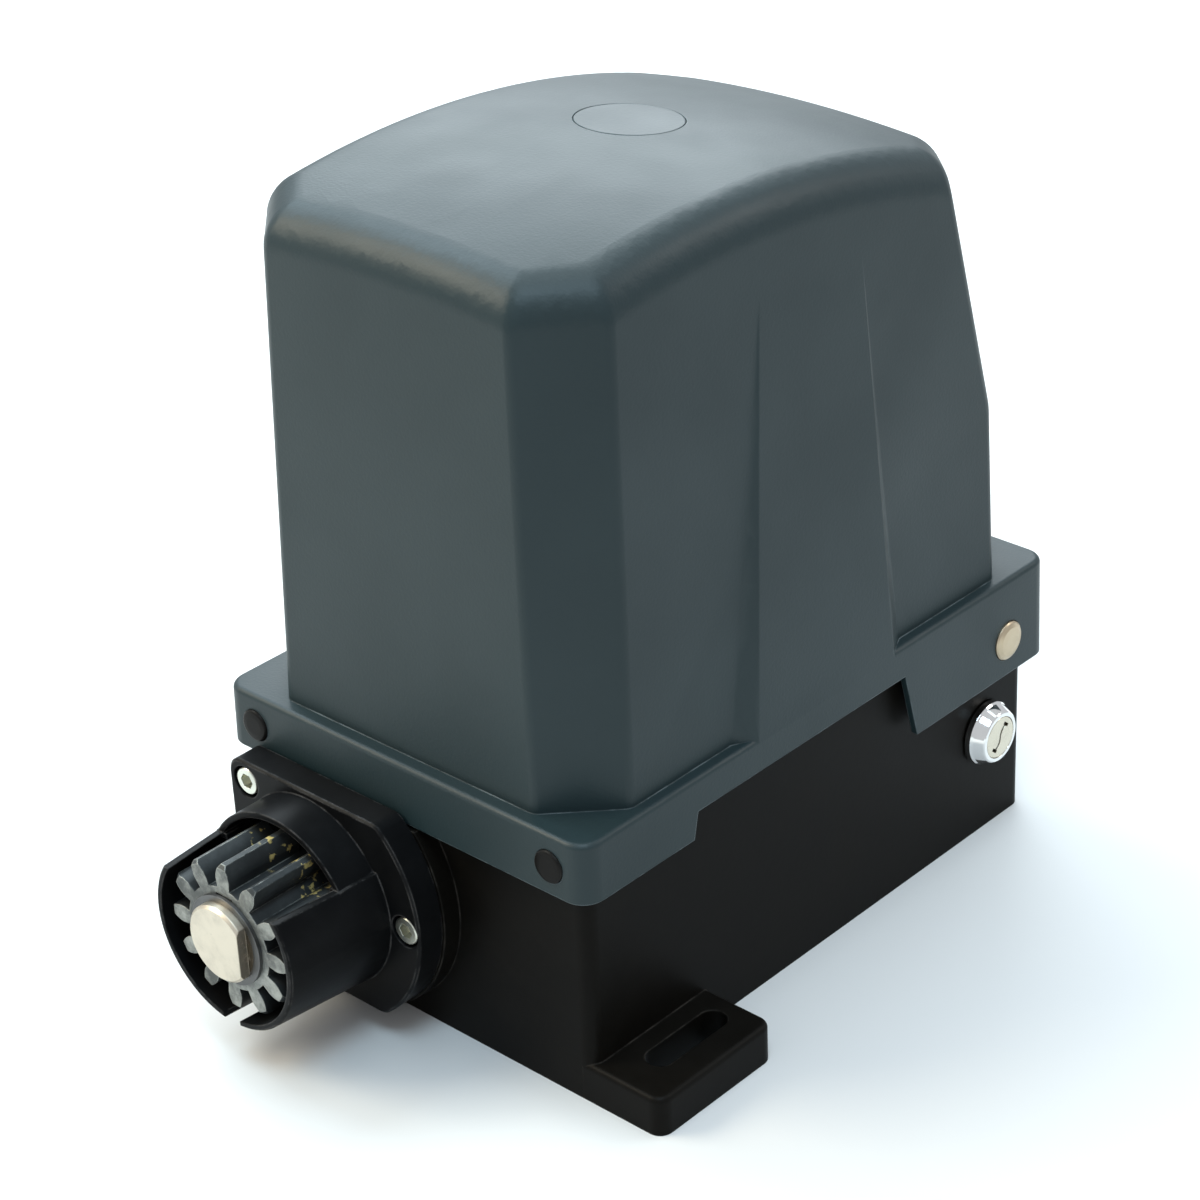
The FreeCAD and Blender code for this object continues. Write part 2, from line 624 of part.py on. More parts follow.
def gear_wire(teeth, module, height, backlash, turn, tip_share=1.0, root_share=1.25):
    """A closed involute gear outline at a height, as a wire. Turn is in radians."""
    pitch = module * teeth / 2
    base = pitch * math.cos(math.radians(20))
    tip = pitch + module * tip_share
    root = pitch - module * root_share
    half_tooth = math.pi / (2 * teeth) - backlash / (2 * pitch)

    def flank_angle(radius):
        roll = math.sqrt(max((radius / base) ** 2 - 1, 0))
        pitch_roll = math.tan(math.radians(20))
        return half_tooth + (pitch_roll - math.radians(20)) - (roll - math.atan(roll))
    start = max(base, root)
    radii = [start + (tip - start) * n / 3 for n in range(4)]

    def at(radius, angle):
        return Vector(radius * math.sin(angle + turn), radius * math.cos(angle + turn), height)
    edges = []
    for tooth in range(teeth):
        mid = 2 * math.pi * tooth / teeth
        following = mid + 2 * math.pi / teeth
        left = [at(r, mid - flank_angle(r)) for r in radii]
        right = [at(r, mid + flank_angle(r)) for r in reversed(radii)]
        root_left = at(root, mid - flank_angle(start))
        root_right = at(root, mid + flank_angle(start))
        next_left = at(root, following - flank_angle(start))
        valley = at(root, (mid + following) / 2)
        if (root_left - left[0]).Length > 1e-4:
            edges.append(Part.makeLine(root_left, left[0]))
        for run in (left, right):
            curve = Part.BSplineCurve()
            curve.interpolate(run)
            if run is left:
                edges.append(curve.toShape())
                edges.append(Part.Arc(left[-1], at(tip, mid), right[0]).toShape())
            else:
                edges.append(curve.toShape())
        if (root_right - right[-1]).Length > 1e-4:
            edges.append(Part.makeLine(right[-1], root_right))
        edges.append(Part.Arc(root_right, valley, next_left).toShape())
    return Part.Wire(edges)


def make_drive_pinion():
    """Twelve involute teeth that drive the gate's rack, with a plain hub behind them."""
    back = value("pinion_face - pinion_width")
    wire = gear_wire(int(value("pinion_teeth")), value("pinion_module"), back, 0.3, 0)
    toothed = Part.Face(wire).extrude(Vector(0, 0, value("pinion_width")))
    tip = value("pinion_module*(pinion_teeth/2 + 1)")
    cone = 1.2
    blank = Part.makeCylinder(tip - cone, value("pinion_width"), Vector(0, 0, back))
    ends = (Part.makeCone(tip - cone, tip + 1, cone + 1, Vector(0, 0, back))
            .fuse(Part.makeCylinder(tip + 1, value("pinion_width") - 2 * cone - 2, Vector(0, 0, back + cone + 1)))
            .fuse(Part.makeCone(tip + 1, tip - cone, cone + 1, Vector(0, 0, value("pinion_face") - cone - 1))))
    toothed = toothed.common(blank.fuse(ends))
    hub_low = value("seat_shoulder")
    hub = Part.makeCylinder(value("pinion_hub/2"), back - hub_low + 2, Vector(0, 0, hub_low))
    bore = Part.makeCylinder(value("seat_diameter/2 + fit_gap"), 200, Vector(0, 0, hub_low - 1))
    key_top = value("seat_diameter/2 + key_height/2 - 1")
    keyway = Part.makeBox(value("key_width"), key_top, 200,
                          Vector(-value("key_width") / 2, 0, hub_low - 1))
    shape = toothed.fuse(hub).cut(bore).cut(keyway).removeSplitter()
    obj = doc.addObject("Part::Feature", "drive_pinion")
    obj.Shape = shape
    return finished(along_shaft(obj), "drive_pinion")


def make_pinion_clip():
    body = new_body("pinion_clip")
    inner = "seat_diameter/2 - clip_groove + fit_gap"
    pad(body, "XY_Plane", "pinion_face", "clip_thickness", lambda s: (
        circle(s, "seat_diameter/2 + 2.3"), circle(s, inner)))
    pocket(body, "XY_Plane", "pinion_face - 1", "clip_thickness + 2", lambda s: rectangle(
        s, "-3", "3", "-seat_diameter/2 - 4", "-seat_diameter/4"))
    return finished(along_shaft(body), "pinion_clip")


def make_pinion_guard():
    """The black flange on the base's boss, with a trough round the pinion that is open at the top."""
    body = new_body("pinion_guard")
    top_reach = "sqrt(flange_radius^2 - flange_top^2)"
    low_reach = "sqrt(flange_radius^2 - flange_bottom^2)"
    pad(body, "XY_Plane", FLANGE_BACK, "flange_thickness", lambda s: outline(s, [
        ("-flange_left", "-flange_bottom"), (low_reach, "-flange_bottom", "flange_radius"),
        (top_reach, "flange_top"), ("-flange_left", "flange_top")]))
    fillet(body, "flange_corner", lambda e: e.BoundBox.XLength < 0.01 and e.BoundBox.YLength < 0.01)
    front = value(FLANGE_FRONT)
    chamfer(body, 0.8, lambda e: e.BoundBox.ZLength < 0.01 and abs(e.BoundBox.ZMin - front) < 0.01)

    root = "shroud_rim + 3.3"
    revolve(body, [
        (root + " - guard_wall", FLANGE_FRONT + " - 2"), (root, FLANGE_FRONT + " - 2"), ("shroud_rim", "shroud_end - 0.6"),
        ("shroud_rim - 0.6", "shroud_end"), ("shroud_rim - guard_wall", "shroud_end"),
    ])
    pocket(body, "XY_Plane", FLANGE_FRONT, "shroud_end", lambda s: rectangle(
        s, "-shroud_rim - 10", "shroud_rim + 10", "shroud_open", "shroud_rim + 10"))
    pocket(body, "XY_Plane", COLLAR_FRONT + " - 8", "shroud_end", lambda s: rectangle(
        s, "-drip_slot/2", "drip_slot/2", "-shroud_rim - 10", "-shroud_rim/2"))

    low = "shroud_open - 0.5"
    inner = "collar_radius - guard_wall"
    outer_reach = "sqrt(collar_radius^2 - (%s)^2)" % low
    inner_reach = "sqrt((%s)^2 - (%s)^2)" % (inner, low)
    pad(body, "XY_Plane", FLANGE_FRONT + " - 1", "collar_length + 1", lambda s: outline(s, [
        (outer_reach, low, "collar_radius"), ("-" + outer_reach, low),
        ("-" + inner_reach, low, "-(%s)" % inner), (inner_reach, low)]))
    for side in (1, -1):
        edge = "%d*(%s)" % (side, root)
        rise = "shroud_open"
        pad(body, "XY_Plane", FLANGE_FRONT + " - 1", "collar_length + 1", lambda s: rectangle(
            s, "%d*(%s - 2)" % (side, inner_reach), "%d*sqrt((%s - 1)^2 - shroud_open^2)" % (side, root),
            rise + " - 2.2", rise))
    pocket(body, "XY_Plane", FLANGE_BACK + " - 1", "flange_thickness + 2", lambda s: circle(s, "flange_hole/2"))
    for angle in GUARD_ANGLES:
        u = "screw_circle*%.6f" % math.cos(math.radians(angle))
        v = "screw_circle*%.6f" % math.sin(math.radians(angle))
        pocket(body, "XY_Plane", FLANGE_BACK + " - 1", "flange_thickness + 2",
               lambda s: circle(s, "guard_screw/2 + 0.2", u, v))
        pocket(body, "XY_Plane", FLANGE_FRONT + " - head_depth - 0.4", "head_depth + 6",
               lambda s: circle(s, "guard_head/2 + 0.9", u, v))
    return finished(along_shaft(body), "pinion_guard")


def make_guard_screws():
    screws = []
    for angle in GUARD_ANGLES:
        screw = socket_screw("guard_screw_body", "guard_screw/2", "guard_head/2", "head_depth",
                             "flange_thickness - head_depth - 0.4 + guard_grip")
        screw.Placement = Placement(Vector(0, 0, 0), Rotation(Vector(1, 0, 0), 90))
        place(screw, "axis_side + screw_circle*%.6f" % math.cos(math.radians(angle)),
              "-(%s - head_depth - 0.4)" % FLANGE_FRONT,
              "axis_height + screw_circle*%.6f" % math.sin(math.radians(angle)))
        screws.append(screw)
    return group("guard_screws", "guard_screws", screws)


make_output_shaft()
make_shaft_keys()
make_drive_pinion()
make_pinion_clip()
make_pinion_guard()
make_guard_screws()
finished(along_shaft(tube("oil_seal", "shaft_diameter/2 + running_gap", "seal_bore/2",
                          FLANGE_BACK + " - seal_depth", FLANGE_BACK + " - 0.3")), "oil_seal")
finished(along_shaft(bearing("front_bearing", "shaft_diameter/2 + running_gap", "front_bearing_od/2",
                             INNER_Y + " - inner_boss_depth",
                             INNER_Y + " - inner_boss_depth + bearing_width")), "front_bearing")
finished(along_shaft(bearing("rear_bearing", "tail_diameter/2 + running_gap", "rear_bearing_od/2",
                             "tail_shoulder - rear_bearing_width", "tail_shoulder - seat_gap")), "rear_bearing")


def make_rear_support():
    """The upright that carries the shaft's rear bearing, on two bolted lugs."""
    body = new_body("rear_support")
    ring = "rear_bearing_od/2 + 7.5"
    pad(body, "XZ_Plane", "tail_shoulder - rear_bearing_width", "rear_bearing_width", lambda s: outline(s, [
        ("axis_side - support_half", "housing_floor"), ("axis_side + support_half", "housing_floor"),
        ("axis_side + support_half", "housing_floor + 8"), ("axis_side + %s" % ring, "housing_floor + 8"),
        ("axis_side + %s" % ring, "axis_height", ring), ("axis_side", "axis_height + %s" % ring, ring),
        ("axis_side - (%s)" % ring, "axis_height"), ("axis_side - (%s)" % ring, "housing_floor + 8"),
        ("axis_side - support_half", "housing_floor + 8")]))
    pocket(body, "XZ_Plane", "tail_shoulder - rear_bearing_width - 1", "rear_bearing_width + 2",
           lambda s: circle(s, "rear_bearing_od/2", "axis_side", "axis_height"))
    for side in (1, -1):
        pocket(body, "XY_Plane", "housing_floor - 1", 12, lambda s: circle(
            s, 2.6, "axis_side + %d*(support_half - 5.5)" % side, "-tail_shoulder + rear_bearing_width/2"))
    return finished(body, "rear_support")


def make_support_screws():
    screws = []
    for side in (1, -1):
        screw = socket_screw("support_screw", 2.5, 4.2, 5, 7.8)
        place(screw, "axis_side + %d*(support_half - 5.5)" % side, "-tail_shoulder + rear_bearing_width/2",
              "housing_floor + 8")
        screws.append(screw)
    return group("support_screws", "support_screws", screws)


make_rear_support()
make_support_screws()


# ---- worm gear ----------------------------------------------------------------------------------

def make_worm_wheel():
    """Bronze wheel: its teeth lean with the worm's lead, so they are lofted between turned outlines."""
    teeth = int(value("wheel_teeth"))
    module = value("gear_module")
    width = value("wheel_width")
    low = value("wheel_back") - width / 2
    lean = (module / 2) / (value("worm_pitch") / 2) / (module * teeth / 2)
    backlash = value("mesh_backlash")
    wires = [gear_wire(teeth, module, low + width * share, backlash, lean * width * (0.5 - share))
             for share in (0, 1)]
    shape = Part.makeLoft(wires, True, True)
    bore = Part.makeCylinder(value("hub_diameter/2 + fit_gap"), width + 2, Vector(0, 0, low - 1))
    shape = shape.cut(bore)
    web_inner = value("hub_diameter/2 + 6")
    web_outer = value("gear_module*wheel_teeth/2 - 6")
    for start in (low - 1, low + width - 3.5):
        groove = Part.makeCylinder(web_outer, 4.5, Vector(0, 0, start))
        groove = groove.cut(Part.makeCylinder(web_inner, 4.5, Vector(0, 0, start)))
        shape = shape.cut(groove)
    obj = doc.addObject("Part::Feature", "worm_wheel")
    obj.Shape = shape
    return finished(along_shaft(obj), "worm_wheel")


def dogs(body, start, length, middle_angle, clearance=0):
    """Three face dogs on a ring, evenly spaced from the middle angle."""
    half = math.radians(value("dog_angle")) / 2
    centre = math.radians(middle_angle)
    low, high = centre - half, centre + half
    inner = "shaft_diameter/2 + 0.7"
    outer = "hub_diameter/2"

    def at(radius, angle):
        return ("(%s)*%.6f" % (radius, math.cos(angle)), "(%s)*%.6f" % (radius, math.sin(angle)))

    def sector(sketch):
        outline(sketch, [at(inner, low), at(outer, low) + (outer,), at(outer, high),
                         at(inner, high) + ("-(%s)" % inner,)])
    feature = pad(body, "XY_Plane", start, length, sector)
    repeat_round(body, feature, "Z_Axis", 3)


def make_wheel_hub():
    body = new_body("wheel_hub")
    bore = "shaft_diameter/2 + running_gap"
    face = "wheel_back + wheel_width/2"
    revolve(body, [
        (bore, "hub_back"), ("hub_diameter/2", "hub_back"), ("hub_diameter/2", face),
        ("hub_diameter/2 + 5", face), ("hub_diameter/2 + 5", face + " + 4"),
        ("hub_diameter/2", face + " + 4"), ("hub_diameter/2", "hub_front"), (bore, "hub_front"),
    ])
    dogs(body, "hub_back - dog_height + seat_gap", "dog_height - seat_gap + 0.5", 90)
    return finished(along_shaft(body), "wheel_hub")


def make_clutch_sleeve():
    """Slides on the shaft's key: its dogs drive from the wheel hub, its groove holds the fork."""
    body = new_body("clutch_sleeve")
    bore = "shaft_diameter/2 + running_gap"
    front = "hub_back - dog_height"
    revolve(body, [
        (bore, "sleeve_back"), ("sleeve_diameter/2", "sleeve_back"),
        ("sleeve_diameter/2", "fork_back - groove_width/2"), ("sleeve_groove/2", "fork_back - groove_width/2"),
        ("sleeve_groove/2", "fork_back + groove_width/2"), ("sleeve_diameter/2", "fork_back + groove_width/2"),
        ("sleeve_diameter/2", front), (bore, front),
    ])
    dogs(body, front + " - 0.5", "dog_height - seat_gap + 0.5", 30)
    key_top = "shaft_diameter/2 + key_height/2 - 1 + 0.2"
    pocket(body, "XY_Plane", "sleeve_back - 1", "hub_back - sleeve_back + 2", lambda s: rectangle(
        s, "-key_width/2 - 0.1", "key_width/2 + 0.1", "0", key_top))
    return finished(along_shaft(body), "clutch_sleeve")


def make_worm_shaft():
    """Motor shaft with a one-start right-hand worm cut on its lower end."""
    pitch = math.pi * value("gear_module")
    radius = value("worm_pitch/2")
    tip = radius + value("gear_module")
    root = radius - 1.25 * value("gear_module")
    turns = 6
    start = value("axis_height") - turns / 2 * pitch
    half = pitch / 4 - value("mesh_backlash") / 4
    slope = math.tan(math.radians(20))
    sunk = root - 0.4
    corners = [(sunk, -half - (radius - sunk) * slope), (tip, -half + (tip - radius) * slope),
               (tip, half - (tip - radius) * slope), (sunk, half + (radius - sunk) * slope)]
    points = [Vector(r, 0, start + z) for r, z in corners]
    profile = Part.makePolygon(points + [points[0]])
    helix = Part.makeHelix(pitch, turns * pitch, radius)
    helix.translate(Vector(0, 0, start))
    thread = Part.Wire(helix.Edges).makePipeShell([profile], True, True)
    if thread.Volume < 0:
        thread.reverse()
    shaft = value("rotor_shaft/2")
    bottom = value("housing_floor") + 5
    core = Part.makeCylinder(root, turns * pitch + 9, Vector(0, 0, start - 4.5))
    shank = Part.makeCylinder(shaft, value("rotor_top") - bottom, Vector(0, 0, bottom))
    shape = shank.fuse(core).fuse(thread)
    obj = doc.addObject("Part::Feature", "worm_shaft")
    obj.Shape = shape
    return finished(over_worm(obj), "worm_shaft")


make_worm_wheel()
make_wheel_hub()
make_clutch_sleeve()
make_worm_shaft()
finished(along_shaft(bearing("wheel_bearing", "hub_diameter/2 + running_gap", "wheel_bearing_od/2",
                             "case_back", "case_back + wheel_bearing_width")), "wheel_bearing")
finished(along_shaft(tube("spacer_sleeve", "shaft_diameter/2 + fit_gap", "shaft_diameter/2 + 3.5", "hub_front + seat_gap",
                          INNER_Y + " - inner_boss_depth - seat_gap")), "spacer_sleeve")
finished(over_worm(bearing("worm_bearing", "rotor_shaft/2 + running_gap", "worm_bore/2", "housing_floor + 5",
                           "housing_floor + 13")), "worm_bearing")


# ---- motor --------------------------------------------------------------------------------------

def tie_spots():
    for dx in (1, -1):
        for dy in (1, -1):
            yield "%d*tie_circle*sqrt(0.5)" % dx, "%d*tie_circle*sqrt(0.5)" % dy


def tie_ears(body, start, length):
    for u, v in tie_spots():
        pad(body, "XY_Plane", start, length, lambda s: circle(s, "7", u, v))


def tie_holes(body, start, length):
    for u, v in tie_spots():
        pocket(body, "XY_Plane", start, length, lambda s: circle(s, "tie_screw/2", u, v))


def make_lower_shield():
    body = new_body("lower_shield")
    outer = "motor_radius"
    inner = "motor_radius - shield_wall"
    seat = "motor_bearing_od/2"
    floor = "case_top + shield_flange"
    revolve(body, [
        ("rotor_shaft/2 + 2", "case_top"), (outer, "case_top"), (outer, "stack_bottom"), (inner, "stack_bottom"),
        (inner, floor), (seat + " + 4", floor), (seat + " + 4", "case_top + 12"), (seat, "case_top + 12"),
        (seat, "case_top + 4"), ("rotor_shaft/2 + 2", "case_top + 4"),
    ])
    tie_ears(body, "stack_bottom - 8", "8")
    tie_holes(body, "stack_bottom - 9", "10")
    for dx in (1, -1):
        for dy in (1, -1):
            pocket(body, "XY_Plane", "case_top - 1", "shield_flange + 2", lambda s: circle(
                s, 2.3, "%d*(%s)" % (dx, TIE_OFFSET), "%d*(%s)" % (dy, TIE_OFFSET)))
    return finished(over_worm(body), "lower_shield")


def make_upper_shield():
    body = new_body("upper_shield")
    outer = "motor_radius"
    inner = "motor_radius - shield_wall"
    seat = "motor_bearing_od/2"
    bearing_low = "rotor_top - motor_bearing_width"
    revolve(body, [
        (inner, STACK_TOP), (outer, STACK_TOP), (outer, "shield_top - 7"), (outer + " - 7", "shield_top"),
        (0, "shield_top"), (0, "rotor_top + 0.3"), (seat, "rotor_top + 0.3"), (seat, bearing_low),
        (seat + " + 3", bearing_low), (seat + " + 3", "shield_top - shield_wall"),
        (inner + " - 5.5", "shield_top - shield_wall"), (inner, "shield_top - shield_wall - 5.5"),
    ])
    tie_ears(body, STACK_TOP, "8")
    tie_holes(body, STACK_TOP + " - 1", "10")
    return finished(over_worm(body), "upper_shield")


def make_stator_core():
    """Laminated ring with open slots round its bore and four grooves down its outside."""
    body = new_body("stator_core")
    bore = "rotor_radius + air_gap"
    pad(body, "XY_Plane", "stack_bottom", "stack_height", lambda s: (
        circle(s, "motor_radius"), circle(s, bore)))
    slot_cut = pocket(body, "XY_Plane", "stack_bottom - 1", "stack_height + 2", lambda s: rectangle(
        s, "-2", "2", bore + " - 2", "motor_radius - 7"))
    repeat_round(body, slot_cut, "Z_Axis", "16")
    return finished(over_worm(body), "stator_core")


def make_windings():
    coils = []
    low_top = ("stack_bottom - winding_height", "stack_bottom")
    high_top = (STACK_TOP, STACK_TOP + " + winding_height")
    inner = "rotor_radius + air_gap + 3"
    outer = "motor_radius - shield_wall - 2"
    for low, high in (low_top, high_top):
        body = new_body("winding")
        revolve(body, [
            (inner, low + " + 4"), (inner + " + 4", low), (outer + " - 4", low), (outer, low + " + 4"),
            (outer, high + " - 4"), (outer + " - 4", high), (inner + " + 4", high), (inner, high + " - 4"),
        ])
        coils.append(over_worm(body))
    return group("stator_windings", "stator_windings", coils)


def make_rotor_core():
    body = new_body("rotor_core")
    shaft = "rotor_shaft/2"
    revolve(body, [
        (shaft, "stack_bottom - 4"), ("rotor_radius - 4", "stack_bottom - 4"), ("rotor_radius - 3", "stack_bottom"),
        ("rotor_radius", "stack_bottom"), ("rotor_radius", STACK_TOP), ("rotor_radius - 3", STACK_TOP),
        ("rotor_radius - 4", STACK_TOP + " + 4"), (shaft, STACK_TOP + " + 4"),
    ])
    return finished(over_worm(body), "rotor_core")


def make_tie_screws():
    screws = []
    length = "stack_height + 14"
    for u, v in tie_spots():
        screw = pan_screw("tie_screw_body", "tie_screw/2", "4.6", "3.4", length)
        place(screw, "%s + %s" % (WORM_X, u), "-wheel_back + %s" % v, STACK_TOP + " + 8")
        screws.append(screw)
    return group("motor_tie_screws", "motor_tie_screws", screws)


def make_flange_screws():
    screws = []
    for dx in (1, -1):
        for dy in (1, -1):
            screw = socket_screw("flange_screw", 2.1, 3.6, 4, "shield_flange + 9")
            place(screw, "%s + %d*(%s)" % (WORM_X, dx, TIE_OFFSET), "-wheel_back + %d*(%s)" % (dy, TIE_OFFSET),
                  "case_top + shield_flange")
            screws.append(screw)
    return group("motor_flange_screws", "motor_flange_screws", screws)


make_lower_shield()
make_stator_core()
make_windings()
make_upper_shield()
make_rotor_core()
make_tie_screws()
make_flange_screws()
lower = bearing("lower_motor_bearing", "rotor_shaft/2 + running_gap", "motor_bearing_od/2", "case_top + 4",
                "case_top + 4 + motor_bearing_width")
upper = bearing("upper_motor_bearing", "rotor_shaft/2 + running_gap", "motor_bearing_od/2",
                "rotor_top - motor_bearing_width", "rotor_top")
group("motor_bearings", "motor_bearings", [over_worm(lower), over_worm(upper)])


# ---- manual release -----------------------------------------------------------------------------

CRANK = "crank_radius*sqrt(0.5)"
BEZEL_SEAT = HALF_X + " + 0.3"


def along_lock(body, turn=0):
    """Puts a piece modelled about +Z on the lock's line, which runs along +X."""
    body.Placement = Placement(Vector(0, 0, 0), Rotation(Vector(0, 1, 0), 90) * Rotation(Vector(0, 0, 1), turn))
    return place(body, 0, "lock_back", "lock_height")


def make_lock_body():
    body = new_body("lock_body")
    inner = "plug_diameter/2 - 2 + running_gap"
    seat = "plug_diameter/2 + running_gap"
    tip = BEZEL_SEAT + " + lock_proud"
    revolve(body, [
        (inner, "lock_inside"), ("lock_barrel/2", "lock_inside"), ("lock_barrel/2", BEZEL_SEAT),
        ("lock_bezel/2", BEZEL_SEAT), ("lock_bezel/2", BEZEL_SEAT + " + 2.2"),
        ("lock_bezel/2 - 0.6", BEZEL_SEAT + " + 3"),
        ("plug_diameter/2 + 1.8", tip + " - 0.5"), ("plug_diameter/2 + 1.3", tip), (seat, tip),
        (seat, tip + " - 2.5"), (inner, tip + " - 2.5"),
    ])
    return finished(along_lock(body), "lock_body")


def make_lock_plug():
    """The turning part of the lock, with a key slot that bends twice."""
    body = new_body("lock_plug")
    tip = BEZEL_SEAT + " + lock_proud"
    stem = "plug_diameter/2 - 2"
    revolve(body, [
        (0, "lock_inside - 2.5"), (stem, "lock_inside - 2.5"), (stem, tip + " - 2.4"),
        ("plug_diameter/2", tip + " - 2.4"), ("plug_diameter/2", tip + " - 0.4"), ("plug_diameter/2 - 0.4", tip),
        (0, tip),
    ])
    reach = "key_slot/2"
    half = "0.45"
    bow = "key_slot*0.42"
    pocket(body, "XY_Plane", tip + " - 5", "6", lambda s: outline(s, [
        ("-" + reach, "-" + half, bow), ("0", "-" + half, "-" + bow), (reach, "-" + half),
        (reach, half, bow), ("0", half, "-" + bow), ("-" + reach, half)]))
    for side in (1, -1):
        pocket(body, "XY_Plane", tip + " - 5", "6", lambda s: rectangle(
            s, "%d*(%s) - 0.6" % (side, reach), "%d*(%s) + 0.6" % (side, reach), "-1.5", "1.5"))
    return finished(along_lock(body, value("key_slot_lean")), "lock_plug")


def make_lock_nut():
    body = new_body("lock_nut")
    pad(body, "XY_Plane", HALF_X + " - housing_wall - 4", "4", lambda s: (
        hexagon("24")(s), circle(s, "lock_barrel/2")))
    return finished(along_lock(body), "lock_nut")


def make_lock_cam():
    """Disc on the plug's inner end, with the crank pin that moves the release bar."""
    body = new_body("lock_cam")
    top = "lock_inside - 2.5"
    pad(body, "XY_Plane", top + " - cam_thickness", "cam_thickness", lambda s: circle(s, "cam_radius"))
    pad(body, "XY_Plane", top + " - cam_thickness - 6", "6.5", lambda s: circle(
        s, "crank_pin/2", CRANK, "-" + CRANK))
    return finished(along_lock(body), "lock_cam")


def make_release_bar():
    """Flat bar from the lock to the clutch, with the fork on its end."""
    body = new_body("release_bar")
    low = "lock_height - 3.4 - bar_height/2"
    high = "lock_height - 3.4 + bar_height/2"
    face = "bar_side - bar_thickness/2"
    fork_low = "-fork_back - fork_thickness/2"
    pad(body, "YZ_Plane", face, "bar_thickness", lambda s: rectangle(s, fork_low, "lock_back + 5", low, high))
    inner = "sleeve_groove/2 + fork_gap"
    outer = "sleeve_groove/2 + 7"
    pad(body, "XZ_Plane", "fork_back - fork_thickness/2", "fork_thickness", lambda s: outline(s, [
        ("axis_side - 6", "axis_height - (%s)" % outer), ("axis_side + 14", "axis_height - (%s)" % outer),
        ("axis_side + 34", low), ("bar_side + bar_thickness/2", low), ("bar_side + bar_thickness/2", high),
        ("axis_side + 34", high + " + 4"), ("axis_side + 14", "axis_height + %s" % outer),
        ("axis_side - 6", "axis_height + %s" % outer), ("axis_side - 6", "axis_height + %s" % inner),
        ("axis_side", "axis_height + %s" % inner, "-(%s)" % inner),
        ("axis_side + %s" % inner, "axis_height", "-(%s)" % inner),
        ("axis_side", "axis_height - (%s)" % inner), ("axis_side - 6", "axis_height - (%s)" % inner)]))
    pin_y = "lock_back - %s" % CRANK
    half_slot = "crank_pin/2 + 0.35"
    pocket(body, "YZ_Plane", face + " - 1", "bar_thickness + 2", lambda s: rectangle(
        s, "%s - (%s)" % (pin_y, half_slot), "%s + (%s)" % (pin_y, half_slot),
        "lock_height - crank_radius - crank_pin/2 - 0.5", "lock_height - %s + crank_pin/2 + 0.5" % CRANK))
    return finished(body, "release_bar")


def make_bar_guides():
    """Two posts on the base's floor that the release bar slides through."""
    guides = []
    low = "lock_height - 3.4 - bar_height/2 - fork_gap"
    high = "lock_height - 3.4 + bar_height/2 + fork_gap"
    gap = "bar_thickness/2 + fork_gap"
    for start in ("-12", "60"):
        body = new_body("guide")
        pad(body, "XY_Plane", "housing_floor", high + " + 5 - housing_floor", lambda s: rectangle(
            s, "bar_side - 6.5", "bar_side + 6.5", start, "%s + 9" % start))
        fillet(body, 1.5, lambda e: is_upright(e))
        pocket(body, "XZ_Plane", "-(%s) - 10" % start, "12", lambda s: rectangle(
            s, "bar_side - (%s)" % gap, "bar_side + %s" % gap, low, high))
        guides.append(body)
    return group("bar_guides", "bar_guides", guides)


make_lock_body()
make_lock_plug()
make_lock_nut()
make_lock_cam()
make_release_bar()
make_bar_guides()


# ---- cover --------------------------------------------------------------------------------------

ABOVE = "crown_height + 15"
BARREL_Z = "(crown_height - roof_radius)"


def barrel_groove(body, inset):
    """Trims the top to a crown that curves along and across, like the outside of a barrel."""
    sketch = new_sketch(body, "XZ_Plane", "roof_peak")
    height = value(BARREL_Z)
    axis = sketch.addGeometry(Part.LineSegment(Vector(-50, height, 0), Vector(50, height, 0)), True)
    fix_point(sketch, axis, 1, "-50", BARREL_Z)
    fix_point(sketch, axis, 2, "50", BARREL_Z)
    half = "(body_width/2 + 5)"
    side = "(roof_radius - (%s) - cross_radius + sqrt(cross_radius^2 - %s^2))" % (inset, half)
    near = "%s - %s" % (BARREL_Z, side)
    far = "%s - roof_radius - 60" % BARREL_Z
    corners = [("-" + half, near), ("-" + half, far), (half, far), (half, near, "-cross_radius")]
    outline(sketch, corners)
    feature = body.newObject("PartDesign::Groove", "groove")
    feature.Profile = sketch
    feature.ReferenceAxis = (sketch, ["Axis0"])
    feature.Angle = 360
    doc.recompute()
    return feature


def side_panel(body, sign, inset):
    """The raised panel on one side, which runs out into the side face towards the top."""
    slope = "(panel_flank/(skirt_width/2 - body_width/2))"
    rise = "(panel_top - ledge_height)*tan(body_draft)"
    sunk = "(ledge_round + 0.5)"
    low_out = "(skirt_width/2 + %s*tan(skirt_draft) - (%s))" % (sunk, inset)
    low_in = "(body_width/2 - (%s) - 1.5)" % inset
    top_out = "(body_width/2 - %s - (%s))" % (rise, inset)
    top_in = "(body_width/2 - %s - (%s) - 1.5)" % (rise, inset)
    sketches = []
    for height, inner, outer, half in (("ledge_height - (%s) - %s" % (inset, sunk), low_in, low_out, "panel_half"),
                                       ("panel_top", top_in, top_out, "panel_half_top")):
        spread = "(%s - %s)*%s" % (outer, inner, slope)
        middle_y = "panel_middle*(%s - panel_half_top)/(panel_half - panel_half_top)" % half
        sketch = new_sketch(body, "XY_Plane", height)
        outline(sketch, [
            ("%d*%s" % (sign, inner), "%s - %s - %s" % (middle_y, half, spread)),
            ("%d*%s" % (sign, outer), "%s - %s" % (middle_y, half)),
            ("%d*%s" % (sign, outer), "%s + %s" % (middle_y, half)),
            ("%d*%s" % (sign, inner), "%s + %s + %s" % (middle_y, half, spread)),
        ])
        sketches.append(sketch)
    loft = body.newObject("PartDesign::AdditiveLoft", "loft")
    loft.Profile = sketches[0]
    loft.Sections = [sketches[1]]
    loft.Ruled = True
    doc.recompute()
    return loft


